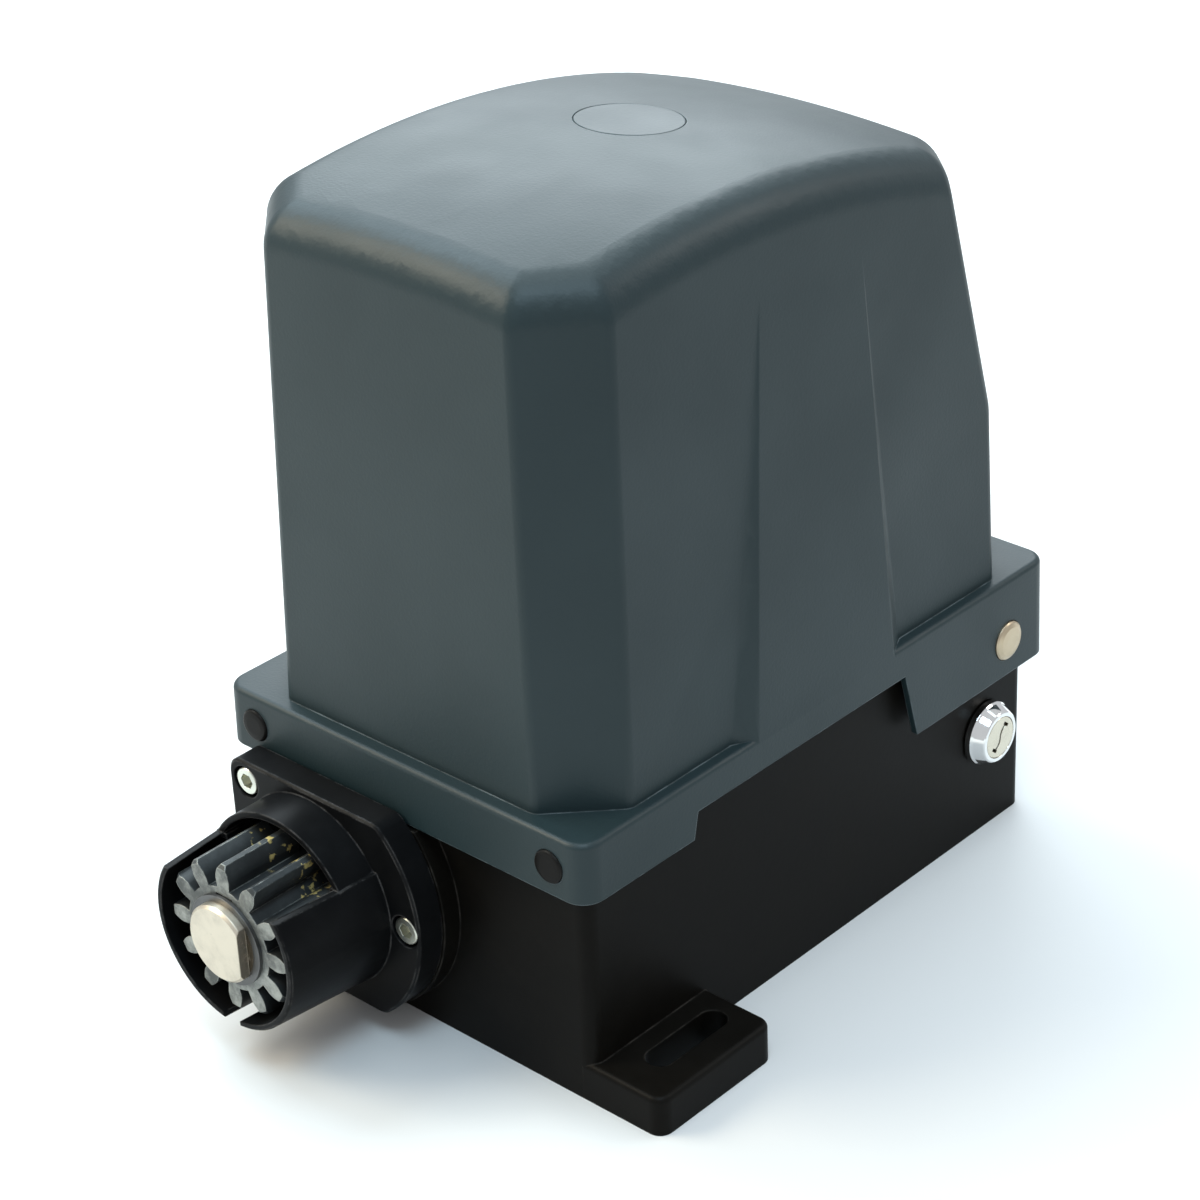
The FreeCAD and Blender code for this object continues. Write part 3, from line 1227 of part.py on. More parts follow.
def cover_form(name, inset):
    """The cover's whole outside, or its inside when it is set in by the wall."""
    body = new_body(name)
    low = "(ledge_height - (%s))" % inset
    front = "-(body_length/2 - (%s))" % inset
    back = "(body_length/2 - (%s))" % inset
    lean = "(%s - kink_height)*(kink_back - brow_back)/(brow_height - kink_height)" % ABOVE
    width = "body_width - 2*(%s)" % inset
    pad(body, "YZ_Plane", "-(%s)/2" % width, width, lambda s: outline(s, [
        (front, low), (back, low), ("kink_back - (%s)" % inset, "kink_height"),
        ("kink_back - (%s) - %s" % (inset, lean), ABOVE),
        ("%s + (%s - %s)*tan(body_draft)" % (front, ABOVE, low), ABOVE)]))
    kink = value("kink_height")
    fillet(body, "kink_soft", lambda e: abs(e.BoundBox.ZMin - kink) < 0.01 and e.BoundBox.ZLength < 0.01
           and e.BoundBox.YLength < 0.01)
    barrel_groove(body, inset)

    def wedges(sketch):
        near = "(body_width/2 - (%s))" % inset
        far = "%s - (%s - %s)*tan(body_draft)" % (near, ABOVE, low)
        for sign in ("", "-"):
            outline(sketch, [
                ("%s(%s)" % (sign, near), low), ("%s(%s + 10)" % (sign, near), low),
                ("%s(%s + 10)" % (sign, near), ABOVE), ("%s(%s)" % (sign, far), ABOVE)])
    pocket(body, "XZ_Plane", "-body_length/2 - 5", "body_length + 10", wedges)
    chamfer(body, "body_chamfer - (%s)*(2 - sqrt(2))" % inset, is_tall)
    rim = value("brow_height") - 30
    return rounded(name + "_rounded", body, (
        (is_tall, value("facet_round - (%s)" % inset)),
        (lambda e: e.BoundBox.ZMin > rim and not is_tall(e), value("top_round - (%s)" % inset))))


def is_tall(edge):
    box = edge.BoundBox
    return box.ZLength > 2 * box.YLength and box.ZLength > 2 * box.XLength


def rounded(name, base, rules):
    """One fillet with several radii: each rule is an edge test and its radius."""
    edges = []
    for number, edge in enumerate(base.Shape.Edges):
        radius = next((size for test, size in rules if test(edge)), None)
        if radius is not None:
            edges.append((number + 1, radius, radius))
    result = doc.addObject("Part::Fillet", name)
    result.Base = base
    result.Edges = edges
    doc.recompute()
    return result


def cover_skirt(name, inset):
    """The skirt with its ledge, and the two side panels that stand on it."""
    body = new_body(name)
    spread = "(ledge_height - hem_back)*tan(skirt_draft)"

    def skirt(sketch):
        half_x = "(skirt_width/2 + %s - (%s))" % (spread, inset)
        half_y = "(skirt_length/2 + %s - (%s))" % (spread, inset)
        rectangle(sketch, "-" + half_x, half_x, "-" + half_y, half_y)
    pad(body, "XY_Plane", "hem_back", "ledge_height - hem_back - (%s)" % inset, skirt, "-skirt_draft")
    fillet(body, "skirt_corner - (%s)" % inset, is_tall)
    if inset == "0":
        top = value("ledge_height")
        fillet(body, "ledge_round", lambda e: abs(e.BoundBox.ZMin - top) < 0.05)
    for sign in (1, -1):
        side_panel(body, sign, inset)
    return body


def make_cover():
    """A moulded cover: outside less inside, with its hem stepped and its screw holes."""
    outside = joined("cover_outside", "Fuse", cover_form("outer_top", "0"), cover_skirt("outer_skirt", "0"))
    inside = joined("cover_inside", "Fuse", cover_form("inner_top", "cover_wall"),
                    cover_skirt("inner_skirt", "cover_wall"))
    shell = joined("cover_shell", "Cut", outside, inside)

    hem = new_body("hem_cut")
    far = "skirt_length/2 + 10"
    pad(hem, "YZ_Plane", "-skirt_width/2 - 10", "skirt_width + 20", lambda s: outline(s, [
        ("-(%s)" % far, "hem_back - 5"), ("hem_notch + notch_slant", "hem_back - 5"),
        ("hem_notch + notch_slant", "hem_back"), ("hem_notch", "hem_middle"),
        ("-hem_step + 2.3", "hem_middle"), ("-hem_step", "hem_front"), ("-(%s)" % far, "hem_front")]))
    shell = joined("cover_hem", "Cut", shell, hem)

    bosses = new_body("cover_bosses")
    skirt_x = "skirt_width/2"
    skirt_y = "skirt_length/2"
    for sign in ("", "-"):
        pad(bosses, "XZ_Plane", HALF_Y + " + fork_gap", skirt_y + " - 0.5 - (%s + fork_gap)" % HALF_Y,
            lambda s: circle(s, "cap_diameter/2 + 2", "%s(cap_span/2)" % sign, "cap_height"))
    for start in (HALF_X + " + fork_gap", "-(%s - 0.5)" % skirt_x):
        pad(bosses, "YZ_Plane", start, skirt_x + " - 0.5 - (%s + fork_gap)" % HALF_X,
            lambda s: circle(s, "side_head/2 - 0.5", "side_screw_back", "side_screw_height"))
    shell = joined("cover_with_bosses", "Fuse", shell, bosses)

    holes = new_body("cover_holes")
    for sign in ("", "-"):
        spot = ("%s(cap_span/2)" % sign, "cap_height")
        pad(holes, "XZ_Plane", skirt_y + " - cap_recess", "cap_recess + 3", lambda s: circle(
            s, "cap_diameter/2 + 0.05", *spot))
        pad(holes, "XZ_Plane", HALF_Y, "8", lambda s: circle(s, "screw_shank/2 + 0.05", *spot))
    spot = ("side_screw_back", "side_screw_height")
    pad(holes, "YZ_Plane", HALF_X, "12", lambda s: circle(s, "screw_shank/2 + 0.05", *spot))
    pad(holes, "YZ_Plane", skirt_x + " - 0.3", "5", lambda s: circle(s, "side_head/2 + 0.2", *spot))
    pad(holes, "YZ_Plane", "-%s - 12" % HALF_X, "12", lambda s: circle(s, "screw_shank/2 + 0.05", *spot))
    pad(holes, "YZ_Plane", "-(%s) - 4.7" % skirt_x, "5", lambda s: circle(s, "side_head/2 + 0.2", *spot))
    shell = joined("cover_drilled", "Cut", shell, holes)

    recess = new_body("badge_recess")
    revolve(recess, [(0, "-badge_recess"), ("badge_diameter/2 + 0.2", "-badge_recess"),
                     ("badge_diameter/2 + 0.2", "6"), (0, "6")])
    return finished(joined("top_cover", "Cut", shell, on_crown(recess)), "top_cover")


def on_crown(body):
    """Lays a piece modelled about +Z on the crown over the origin, square to its surface."""
    lean = math.degrees(math.asin(value("roof_peak/roof_radius")))
    body.Placement = Placement(Vector(0, 0, 0), Rotation(Vector(1, 0, 0), -lean))
    return place(body, 0, 0, "crown_height - roof_radius + sqrt(roof_radius^2 - roof_peak^2)")


def make_cover_badge():
    """Plain disc let into the crown."""
    body = new_body("cover_badge")
    radius = "badge_diameter/2"
    revolve(body, [
        (0, "-badge_recess"), (radius, "-badge_recess"), (radius, "-badge_recess + badge_thickness - 0.3"),
        (radius + " - 0.3", "-badge_recess + badge_thickness"), (0, "-badge_recess + badge_thickness + 0.25")])
    return finished(on_crown(body), "cover_badge")


def facing_side(body, sign, x, y, z):
    """Points a piece modelled about +Z outward along +X or -X."""
    body.Placement = Placement(Vector(0, 0, 0), Rotation(Vector(0, 1, 0), 90 * sign))
    return place(body, x, y, z)


def make_nut():
    nut = new_body("nut")
    pad(nut, "XY_Plane", "0", "nut_thickness", lambda s: (
        hexagon("nut_size")(s), circle(s, "screw_shank/2 + fit_gap")))
    return nut


def make_cover_fixings():
    caps, front_screws, side_screws, nuts = [], [], [], []
    for sign in ("", "-"):
        x = "%s(cap_span/2)" % sign
        cap = new_body("cap")
        radius = "cap_diameter/2"
        revolve(cap, [
            (0, "-1.2"), (radius, "-1.2"), (radius, "cap_proud - 0.7"),
            (radius + " - 0.25", "cap_proud - 0.35"), (radius + " - 0.8", "cap_proud - 0.15"),
            (radius + " - 2.4", "cap_proud"), (0, "cap_proud")])
        caps.append(turned_along_y(cap, x, "-skirt_length/2", "cap_height"))
        screw = pan_screw("front_screw", "screw_shank/2", "cap_diameter/2 - 0.9", "cap_recess - 1.3",
                          "screw_reach")
        front_screws.append(turned_along_y(screw, x, "-skirt_length/2 + cap_recess", "cap_height"))
        nut = make_nut()
        nut.Placement = Placement(Vector(0, 0, 0), Rotation(Vector(1, 0, 0), 90) * Rotation(Vector(0, 0, 1), 30))
        nuts.append(place(nut, x, "-%s + housing_wall + fork_gap + nut_thickness" % HALF_Y, "cap_height"))
    for sign, mark in ((1, ""), (-1, "-")):
        screw = new_body("side_screw")
        radius = "side_head/2"
        revolve(screw, [
            (0, "-screw_reach"), ("screw_shank/2", "-screw_reach"), ("screw_shank/2", 0),
            (radius + " - 0.2", 0), (radius, 0.3), (radius, 1.1), (radius + " - 0.5", 1.6),
            (radius + " - 2", "side_proud + 0.1"),
            (radius + " - 4.5", "side_proud + 0.3"), (0, "side_proud + 0.3")])
        side_screws.append(facing_side(screw, sign, "%s(skirt_width/2 - 0.3)" % mark, "side_screw_back",
                                       "side_screw_height"))
        nuts.append(facing_side(make_nut(), sign, "%s(%s - housing_wall - fork_gap - nut_thickness)" % (mark, HALF_X),
                                "side_screw_back", "side_screw_height"))
    group("cover_caps", "cover_caps", caps)
    group("cover_front_screws", "cover_front_screws", front_screws)
    group("cover_side_screws", "cover_side_screws", side_screws)
    group("cover_nuts", "cover_nuts", nuts)


def make_gasket():
    body = new_body("cover_gasket")
    wide = HALF_X + " - fork_gap"
    deep = HALF_Y + " - fork_gap"

    def frame(sketch):
        rectangle(sketch, "-(%s)" % wide, wide, "-(%s)" % deep, deep)
        rectangle(sketch, "-(%s - 3.4)" % wide, wide + " - 3.4", "-(%s - 3.4)" % deep, deep + " - 3.4")
    pad(body, "XY_Plane", "housing_height + fork_gap",
        "ledge_height - cover_wall - housing_height - fork_gap", frame)
    return finished(body, "cover_gasket")


make_cover()
make_cover_badge()
make_cover_fixings()
make_gasket()


# ---- control electronics ------------------------------------------------------------------------

def block(name, left, right, near, far, low, high):
    """A plain box between six planes."""
    body = new_body(name)
    pad(body, "XY_Plane", low, "%s - (%s)" % (high, low), lambda s: rectangle(s, left, right, near, far))
    return body


SHELF_TOP = "shelf_height + sheet_gauge"
UPRIGHT = "shelf_front + sheet_gauge"
BOARD_BACK = UPRIGHT + " + standoff"
BOARD_FACE = BOARD_BACK + " + board_thickness"


def make_chassis():
    """Bent sheet: a shelf on the four posts and an upright that carries the board."""
    body = new_body("chassis_plate")
    pad(body, "YZ_Plane", "-shelf_half", "2*shelf_half", lambda s: outline(s, [
        ("shelf_front", "shelf_height"), ("shelf_back", "shelf_height"), ("shelf_back", SHELF_TOP),
        (UPRIGHT, SHELF_TOP), (UPRIGHT, "upright_top"), ("shelf_front", "upright_top")]))
    for sign in ("", "-"):
        near = "%s(shelf_half - 8)" % sign
        far = "%s(shelf_half + 5)" % sign
        corners = [(near, SHELF_TOP + " + 6"), (far, SHELF_TOP + " + 6"),
                   (far, "upright_top + 5"), (near, "upright_top + 5")]
        pocket(body, "XZ_Plane", "-(%s) - 1" % UPRIGHT, "sheet_gauge + 2", lambda s: outline(s, corners))
    for x, y in POSTS:
        pocket(body, "XY_Plane", "shelf_height - 1", "sheet_gauge + 2",
               lambda s: circle(s, "post_screw/2 + 0.45", x, y))
    pocket(body, "XY_Plane", "shelf_height - 1", "sheet_gauge + 2",
           lambda s: circle(s, 10, "cable_side", "cable_back"))
    return finished(body, "chassis_plate")


def make_chassis_screws():
    screws = []
    for x, y in POSTS:
        screw = pan_screw("chassis_screw", "post_screw/2", 3.6, 2.6, "sheet_gauge + 9")
        screws.append(place(screw, x, y, SHELF_TOP))
    return group("chassis_screws", "chassis_screws", screws)


def make_board():
    body = new_body("control_board")
    pad(body, "XZ_Plane", "-(%s)" % BOARD_FACE, "board_thickness", lambda s: rectangle(
        s, "-board_width/2", "board_width/2", "board_bottom", "board_bottom + board_height"))
    for x in (1, -1):
        for z in ("board_bottom + 6", "board_bottom + board_height - 6"):
            pocket(body, "XZ_Plane", "-(%s) - 1" % BOARD_FACE, "board_thickness + 2", lambda s: circle(
                s, 1.6, "%d*(board_width/2 - 6)" % x, z))
    return finished(body, "control_board")


def make_standoffs():
    pieces = []
    for x in (1, -1):
        for z in ("board_bottom + 6", "board_bottom + board_height - 6"):
            body = new_body("standoff")
            revolve(body, [
                (0, 0), (3, 0), (3, "standoff"), (1.5, "standoff"), (1.5, "standoff + board_thickness"),
                (2.8, "standoff + board_thickness"), (2.4, "standoff + board_thickness + 1.8"),
                (0, "standoff + board_thickness + 1.8")])
            body.Placement = Placement(Vector(0, 0, 0), Rotation(Vector(1, 0, 0), -90))
            pieces.append(place(body, "%d*(board_width/2 - 6)" % x, UPRIGHT, z))
    return group("board_standoffs", "board_standoffs", pieces)


def make_terminals():
    """Rows of screw terminals along the board's lower edge."""
    rows = []
    for left, right in (("-46", "-12"), ("-8", "16"), ("20", "50")):
        body = block("terminal", left, right, BOARD_FACE, BOARD_FACE + " + 13",
                     "board_bottom + 11", "board_bottom + 22")
        chamfer(body, 2, lambda e: e.BoundBox.XLength > 5 and middle(e).y > value(BOARD_FACE) + 12
                and middle(e).z > value("board_bottom") + 21)
        count = round(value("(%s - (%s))/5" % (right, left)))
        for number in range(count):
            x = "%s + %g" % (left, 2.5 + 5 * number)
            pocket(body, "XZ_Plane", "-(%s + 14)" % BOARD_FACE, "5",
                   lambda s: circle(s, 1.7, x, "board_bottom + 15.5"))
        rows.append(body)
    return group("terminal_blocks", "terminal_blocks", rows)


def make_relays():
    blocks = []
    for left in ("-44", "-24", "-4"):
        body = block("relay", left, left + " + 16", BOARD_FACE, BOARD_FACE + " + 15", "board_bottom + 54",
                     "board_bottom + 74")
        fillet(body, 1, is_upright)
        blocks.append(body)
    return group("relays", "relays", blocks)


def make_fuse_holder():
    """Open fuse clip with its glass fuse, lying along X."""
    body = block("fuse_holder", "22", "50", BOARD_FACE, BOARD_FACE + " + 4",
                 "board_bottom + 84", "board_bottom + 94")
    for left in ("22", "43"):
        pad(body, "YZ_Plane", left, "7", lambda s: rectangle(
            s, BOARD_FACE + " + 3", BOARD_FACE + " + 10", "board_bottom + 85", "board_bottom + 93"))
    pad(body, "YZ_Plane", "24", "24", lambda s: circle(s, 2.6, BOARD_FACE + " + 7", "board_bottom + 89"))
    return finished(body, "fuse_holder")


def make_board_capacitor():
    body = new_body("board_capacitor")
    revolve(body, [(0, 0), (8, 0), (8, 3), (7.4, 3.6), (7.4, 4.6), (8, 5.2), (8, 29), (7.2, 30), (0, 30)])
    body.Placement = Placement(Vector(0, 0, 0), Rotation(Vector(1, 0, 0), -90))
    return finished(place(body, "36", BOARD_FACE, "board_bottom + 60"), "board_capacitor")


def make_transformer():
    """A laminated core with two windows, and the coil wound round its middle leg."""
    core = block("core", "-54", "6", "54", "82", SHELF_TOP, SHELF_TOP + " + 50")
    for left, right in (("-44", "-34"), ("-14", "-4")):
        pocket(core, "XZ_Plane", "-83", "30", lambda s: rectangle(
            s, left, right, SHELF_TOP + " + 10", SHELF_TOP + " + 40"))
    finished(core, "transformer_core")
    coil = block("coil", "-43.8", "-4.2", "45", "91", SHELF_TOP + " + 10.2", SHELF_TOP + " + 39.8")
    fillet(coil, 7, is_upright)
    pocket(coil, "XY_Plane", SHELF_TOP, "60", lambda s: rectangle(s, "-34", "-14", "54", "82"))
    return finished(coil, "transformer_coil")


def make_run_capacitor():
    body = new_body("run_capacitor")
    low = SHELF_TOP + " + 2"
    revolve(body, [
        (0, low), (19, low), (20, low + " + 1"), (20, low + " + 66"), (20.6, low + " + 67"),
        (20.6, low + " + 69"), (19, low + " + 70"), (0, low + " + 70")])
    for x in (-6, 6):
        pad(body, "XY_Plane", low + " + 69", "9", lambda s: rectangle(s, x - 3, x + 3, -0.4, 0.4))
    finished(place(body, "31", "80"), "run_capacitor")
    cup = new_body("capacitor_cup")
    revolve(cup, [
        (0, SHELF_TOP), (24, SHELF_TOP), (24, SHELF_TOP + " + 1.5"), (22, SHELF_TOP + " + 2"),
        (22, SHELF_TOP + " + 14"), (20.05, SHELF_TOP + " + 14"), (20.05, low), (0, low)])
    return finished(place(cup, "31", "80"), "capacitor_cup")


def make_limit_sensor():
    """Sensor on a bracket beside the gearbox that reads the end stops on the gate's rack."""
    body = block("limit_sensor", "62", "71", "-112.9", "-97", "50", "76")
    fillet(body, 2, lambda e: is_upright(e) and middle(e).y > -98)
    pad(body, "XY_Plane", "46", "4.5", lambda s: rectangle(s, "60", "72.9", "-112.9", "-95"))
    pocket(body, "YZ_Plane", "70", "2", lambda s: circle(s, 3, "-105", "63"))
    return finished(body, "limit_sensor")


def make_grommet():
    body = new_body("cable_grommet")
    hole = "cable_hole/2"
    top = "housing_floor"
    revolve(body, [
        (hole + " - 4", "0.5"), (hole + " - 0.05", "0.5"), (hole + " - 0.05", top), (hole + " + 3", top),
        (hole + " + 3", top + " + 2"), (hole + " + 1.5", top + " + 3.5"), (hole + " - 4", top + " + 3.5")])
    return finished(place(body, "cable_side", "cable_back"), "cable_grommet")


make_chassis()
make_chassis_screws()
make_board()
make_standoffs()
make_terminals()
make_relays()
make_fuse_holder()
make_board_capacitor()
make_transformer()
make_run_capacitor()
make_limit_sensor()
make_grommet()


# ---- check and write ------------------------------------------------------------------------

doc.recompute()
for obj in doc.Objects:
    if "Invalid" in obj.State or "Error" in obj.State:
        raise RuntimeError("%s (%s) did not build: %s" % (obj.Name, obj.Label, obj.State))
labels = [obj.Label for obj in parts]
if len(set(labels)) != len(labels):
    raise RuntimeError("two sub-parts share a label")
for obj in parts:
    if obj.Shape.isNull() or not obj.Shape.isValid():
        raise RuntimeError("%s has no valid shape" % obj.Label)
os.makedirs("parts", exist_ok=True)
for obj in parts:
    obj.Shape.exportStep("parts/%s.step" % obj.Label)
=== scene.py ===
"""Looks of a sliding gate motor: finishes for its cover, base, pinion, lock and works, and the studio."""

import math

import bmesh
import bpy
from mathutils import Matrix, Vector


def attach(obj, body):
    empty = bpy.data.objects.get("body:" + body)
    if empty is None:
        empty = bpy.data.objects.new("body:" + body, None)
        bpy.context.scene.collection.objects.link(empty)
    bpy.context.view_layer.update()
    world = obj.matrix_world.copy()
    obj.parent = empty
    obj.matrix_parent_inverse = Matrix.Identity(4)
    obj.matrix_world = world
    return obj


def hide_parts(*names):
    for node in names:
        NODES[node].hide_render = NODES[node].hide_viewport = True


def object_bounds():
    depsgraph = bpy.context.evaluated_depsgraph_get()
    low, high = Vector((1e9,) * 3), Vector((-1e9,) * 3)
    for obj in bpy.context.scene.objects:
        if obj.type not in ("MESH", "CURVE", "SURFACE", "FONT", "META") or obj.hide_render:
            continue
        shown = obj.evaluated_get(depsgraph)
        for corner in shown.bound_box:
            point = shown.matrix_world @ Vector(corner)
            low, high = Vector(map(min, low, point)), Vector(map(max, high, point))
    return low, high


bl_info = {
    "name": "Gate motor looks",
    "version": (1, 0, 0),
    "blender": (4, 5, 0),
    "location": "3D View > Sidebar > Gate Motor",
    "description": "Finishes and studio for a sliding gate motor",
    "category": "Material",
}

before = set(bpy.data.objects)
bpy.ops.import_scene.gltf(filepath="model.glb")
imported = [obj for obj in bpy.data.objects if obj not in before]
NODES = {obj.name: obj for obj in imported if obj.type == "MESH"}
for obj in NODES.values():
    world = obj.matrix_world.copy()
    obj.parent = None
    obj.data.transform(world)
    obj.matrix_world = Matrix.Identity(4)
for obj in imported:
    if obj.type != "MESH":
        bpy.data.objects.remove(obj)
CAD_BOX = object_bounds()
GROUPS = {}

# Where finishes change along a piece's own axes, in metres: start and end of each change.
GREASE_BAND = (-0.1575, -0.1545)
FLAT_BAND = (-0.0200, -0.0192)
END_BAND = (-0.1712, -0.1722)

# How machining marks are squeezed along X, Y and Z. They run along the axes with the smaller numbers,
# and three like numbers leave them as a spangle.
ROUND_X = (1.0, 0.05, 0.05)
ROUND_Y = (0.05, 1.0, 0.05)
ROUND_Z = (0.05, 0.05, 1.0)
ALONG_TEETH = (1.0, 0.15, 1.0)
ALONG_SHAFT = (1.0, 0.2, 1.0)
PLATE_SPANGLE = (0.4, 0.4, 0.4)
CHASSIS_SPANGLE = (0.3, 0.3, 0.3)

RUST = (0.12, 0.07, 0.045)

# The cover's shell: points this near are welded, in metres, and edges sharper than this stay sharp.
WELD_DISTANCE = 2e-6
SHARP_EDGE = math.radians(32)
# How far large faces outweigh small ones in its normals: 50 treats them alike and 100 is the most.
FACE_WEIGHT = 100

# The floor's reach, from its middle to its sides, is in diagonals of the motor.
FLOOR_REACH = 40
FLOOR_COLOURS = ((0.67, 0.67, 0.66), (0.69, 0.69, 0.68))
SKY_COLOUR = (0.93, 0.96, 1.0, 1.0)

# Each lamp's name, place, side, watts and colour. The place, from the motor's middle, and the side are
# in diagonals of the motor.
LAMPS = (
    ("overhead", (-1.5, 1.6, 3.2), 4.4, 18.0, (0.8, 0.93, 1.0)),
    ("back", (-2.7, 2.9, 2.2), 2.4, 19.5, (0.86, 0.95, 1.0)),
    ("left_high", (-2.5, 0.0, 3.1), 1.9, 18.0, (0.72, 0.89, 1.0)),
    ("front", (-2.6, -2.3, 2.6), 2.0, 27.0, (1.0, 0.9, 0.7)),
    ("right_ledge", (1.9, 2.7, 2.4), 1.3, 6.0, (1.0, 0.97, 0.92)),
    ("corner_high", (0.1, 0.1, 4.0), 1.4, 5.0, (0.8, 0.92, 1.0)),
    ("near_corner", (1.2, -1.1, 3.4), 1.3, 14.0, (0.62, 0.84, 1.0)),
)

# The camera's sensor is in millimetres, and what it sees lies between these distances in metres.
SENSOR_WIDTH = 36
NEAREST = 0.05
FARTHEST = 60


# ---- node helpers ----------------------------------------------------------------------------------


def node(tree, kind, at, **settings):
    """Adds a shader node at a place in the editor, with its settings."""
    made = tree.nodes.new(kind)
    made.location = at
    for name, value in settings.items():
        setattr(made, name, value)
    return made


def ramp(tree, at, low, high, source):
    """Spreads the part of source between low and high over 0 to 1, with soft ends."""
    made = node(tree, "ShaderNodeMapRange", at, interpolation_type="SMOOTHSTEP")
    made.inputs["From Min"].default_value = low
    made.inputs["From Max"].default_value = high
    tree.links.new(source, made.inputs["Value"])
    return made.outputs["Result"]


def mix_colour(tree, at, factor, first, second):
    """A colour mix; each input is a socket or a colour."""
    made = node(tree, "ShaderNodeMix", at, data_type="RGBA")
    for socket, value in ((made.inputs[0], factor), (made.inputs[6], first), (made.inputs[7], second)):
        put(tree, value, socket)
    return made.outputs[2]


def mix_value(tree, at, factor, first, second):
    """A mix of two numbers; each input is a socket or a number."""
    made = node(tree, "ShaderNodeMix", at, data_type="FLOAT")
    for socket, value in ((made.inputs[0], factor), (made.inputs[2], first), (made.inputs[3], second)):
        put(tree, value, socket)
    return made.outputs[0]


def maths(tree, at, operation, *values, clamp=False):
    """One step of arithmetic on sockets or numbers."""
    made = node(tree, "ShaderNodeMath", at, operation=operation, use_clamp=clamp)
    for socket, value in zip(made.inputs, values):
        put(tree, value, socket)
    return made.outputs[0]


def put(tree, value, socket):
    """Links an output to a socket, or sets the socket to a number or colour."""
    if isinstance(value, bpy.types.NodeSocket):
        tree.links.new(value, socket)
    elif hasattr(value, "__len__") and len(value) == 3:
        socket.default_value = (*value, 1.0)
    else:
        socket.default_value = value


def along(tree, at, axis, start, stop):
    """0 before start and 1 past stop, along one of the piece's own axes."""
    place = node(tree, "ShaderNodeTexCoord", at)
    split = node(tree, "ShaderNodeSeparateXYZ", (at[0] + 150, at[1]))
    tree.links.new(place.outputs["Object"], split.inputs[0])
    return ramp(tree, (at[0] + 300, at[1]), start, stop, split.outputs[axis])


def noise_node(tree, at, scale, detail, roughness):
    """Noise over the piece's own space; the scale is a number or a socket."""
    made = node(tree, "ShaderNodeTexNoise", at)
    put(tree, scale, made.inputs["Scale"])
    made.inputs["Detail"].default_value = detail
    made.inputs["Roughness"].default_value = roughness
    place = node(tree, "ShaderNodeTexCoord", (at[0] - 400, at[1]))
    tree.links.new(place.outputs["Object"], made.inputs["Vector"])
    return made


def shade(colour, times, plus=0.0):
    """A colour made lighter or darker."""
    return tuple(c * times + plus for c in colour)


def bright_shade(colour, times, plus=0.0):
    """A lighter colour, held at white."""
    return tuple(min(c, 1) for c in shade(colour, times, plus))


def new_group(name, inputs, outputs):
    """A shader node group with named sockets; returns it with its input and output nodes."""
    group = bpy.data.node_groups.new(name, "ShaderNodeTree")
    for label, kind, default in inputs:
        socket = group.interface.new_socket(name=label, in_out="INPUT", socket_type=kind)
        socket.default_value = default
    for label, kind in outputs:
        group.interface.new_socket(name=label, in_out="OUTPUT", socket_type=kind)
    start = node(group, "NodeGroupInput", (-1000, 0))
    end = node(group, "NodeGroupOutput", (800, 0))
    return group, start, end


# ---- shared effects --------------------------------------------------------------------------------


def edge_wear_and_highlight_group():
    """Where an edge is sharp: a broken-up mask along it, for wear and, on the cover, for a painted
    highlight, and the normal with that edge rounded.
    """
    group, start, end = new_group(
        "Edge Wear And Highlight",
        [("Radius", "NodeSocketFloat", 0.0008), ("Amount", "NodeSocketFloat", 1.0),
         ("Breakup", "NodeSocketFloat", 180.0)],
        [("Mask", "NodeSocketFloat"), ("Normal", "NodeSocketVector")],
    )
    bevel = node(group, "ShaderNodeBevel", (-700, 200), samples=6)
    group.links.new(start.outputs["Radius"], bevel.inputs["Radius"])
    geometry = node(group, "ShaderNodeNewGeometry", (-700, -50))
    turn = node(group, "ShaderNodeVectorMath", (-480, 100), operation="DOT_PRODUCT")
    group.links.new(bevel.outputs["Normal"], turn.inputs[0])
    group.links.new(geometry.outputs["Normal"], turn.inputs[1])
    edge = ramp(group, (-280, 100), 0.995, 0.93, turn.outputs["Value"])
    rough = noise_node(group, (-480, -250), start.outputs["Breakup"], detail=4.0, roughness=0.65)
    broken = ramp(group, (-280, -250), 0.38, 0.62, rough.outputs["Fac"])
    mask = maths(group, (0, 0), "MULTIPLY", edge, broken)
    scaled = maths(group, (200, 0), "MULTIPLY", mask, start.outputs["Amount"], clamp=True)
    group.links.new(scaled, end.inputs["Mask"])
    group.links.new(bevel.outputs["Normal"], end.inputs["Normal"])
    return group


def moulded_grain_group():
    """The fine stipple of a textured mould, as a height, with a slow mottle of the colour."""
    group, start, end = new_group(
        "Moulded Grain",
        [("Scale", "NodeSocketFloat", 1500.0), ("Mottle Scale", "NodeSocketFloat", 25.0)],
        [("Height", "NodeSocketFloat"), ("Mottle", "NodeSocketFloat")],
    )
    place = node(group, "ShaderNodeTexCoord", (-800, 0))
    stipple = node(group, "ShaderNodeTexVoronoi", (-500, 200), feature="SMOOTH_F1")
    stipple.inputs["Smoothness"].default_value = 0.8
    fine = node(group, "ShaderNodeTexNoise", (-500, -50))
    fine.inputs["Detail"].default_value = 2.0
    slow = node(group, "ShaderNodeTexNoise", (-500, -300))
    slow.inputs["Detail"].default_value = 4.0
    for texture, size in ((stipple, "Scale"), (fine, "Scale"), (slow, "Mottle Scale")):
        group.links.new(place.outputs["Object"], texture.inputs["Vector"])
        group.links.new(start.outputs[size], texture.inputs["Scale"])
    height = maths(group, (0, 100), "ADD", stipple.outputs["Distance"], fine.outputs["Fac"])
    group.links.new(height, end.inputs["Height"])
    group.links.new(ramp(group, (0, -300), 0.3, 0.7, slow.outputs["Fac"]), end.inputs["Mottle"])
    return group


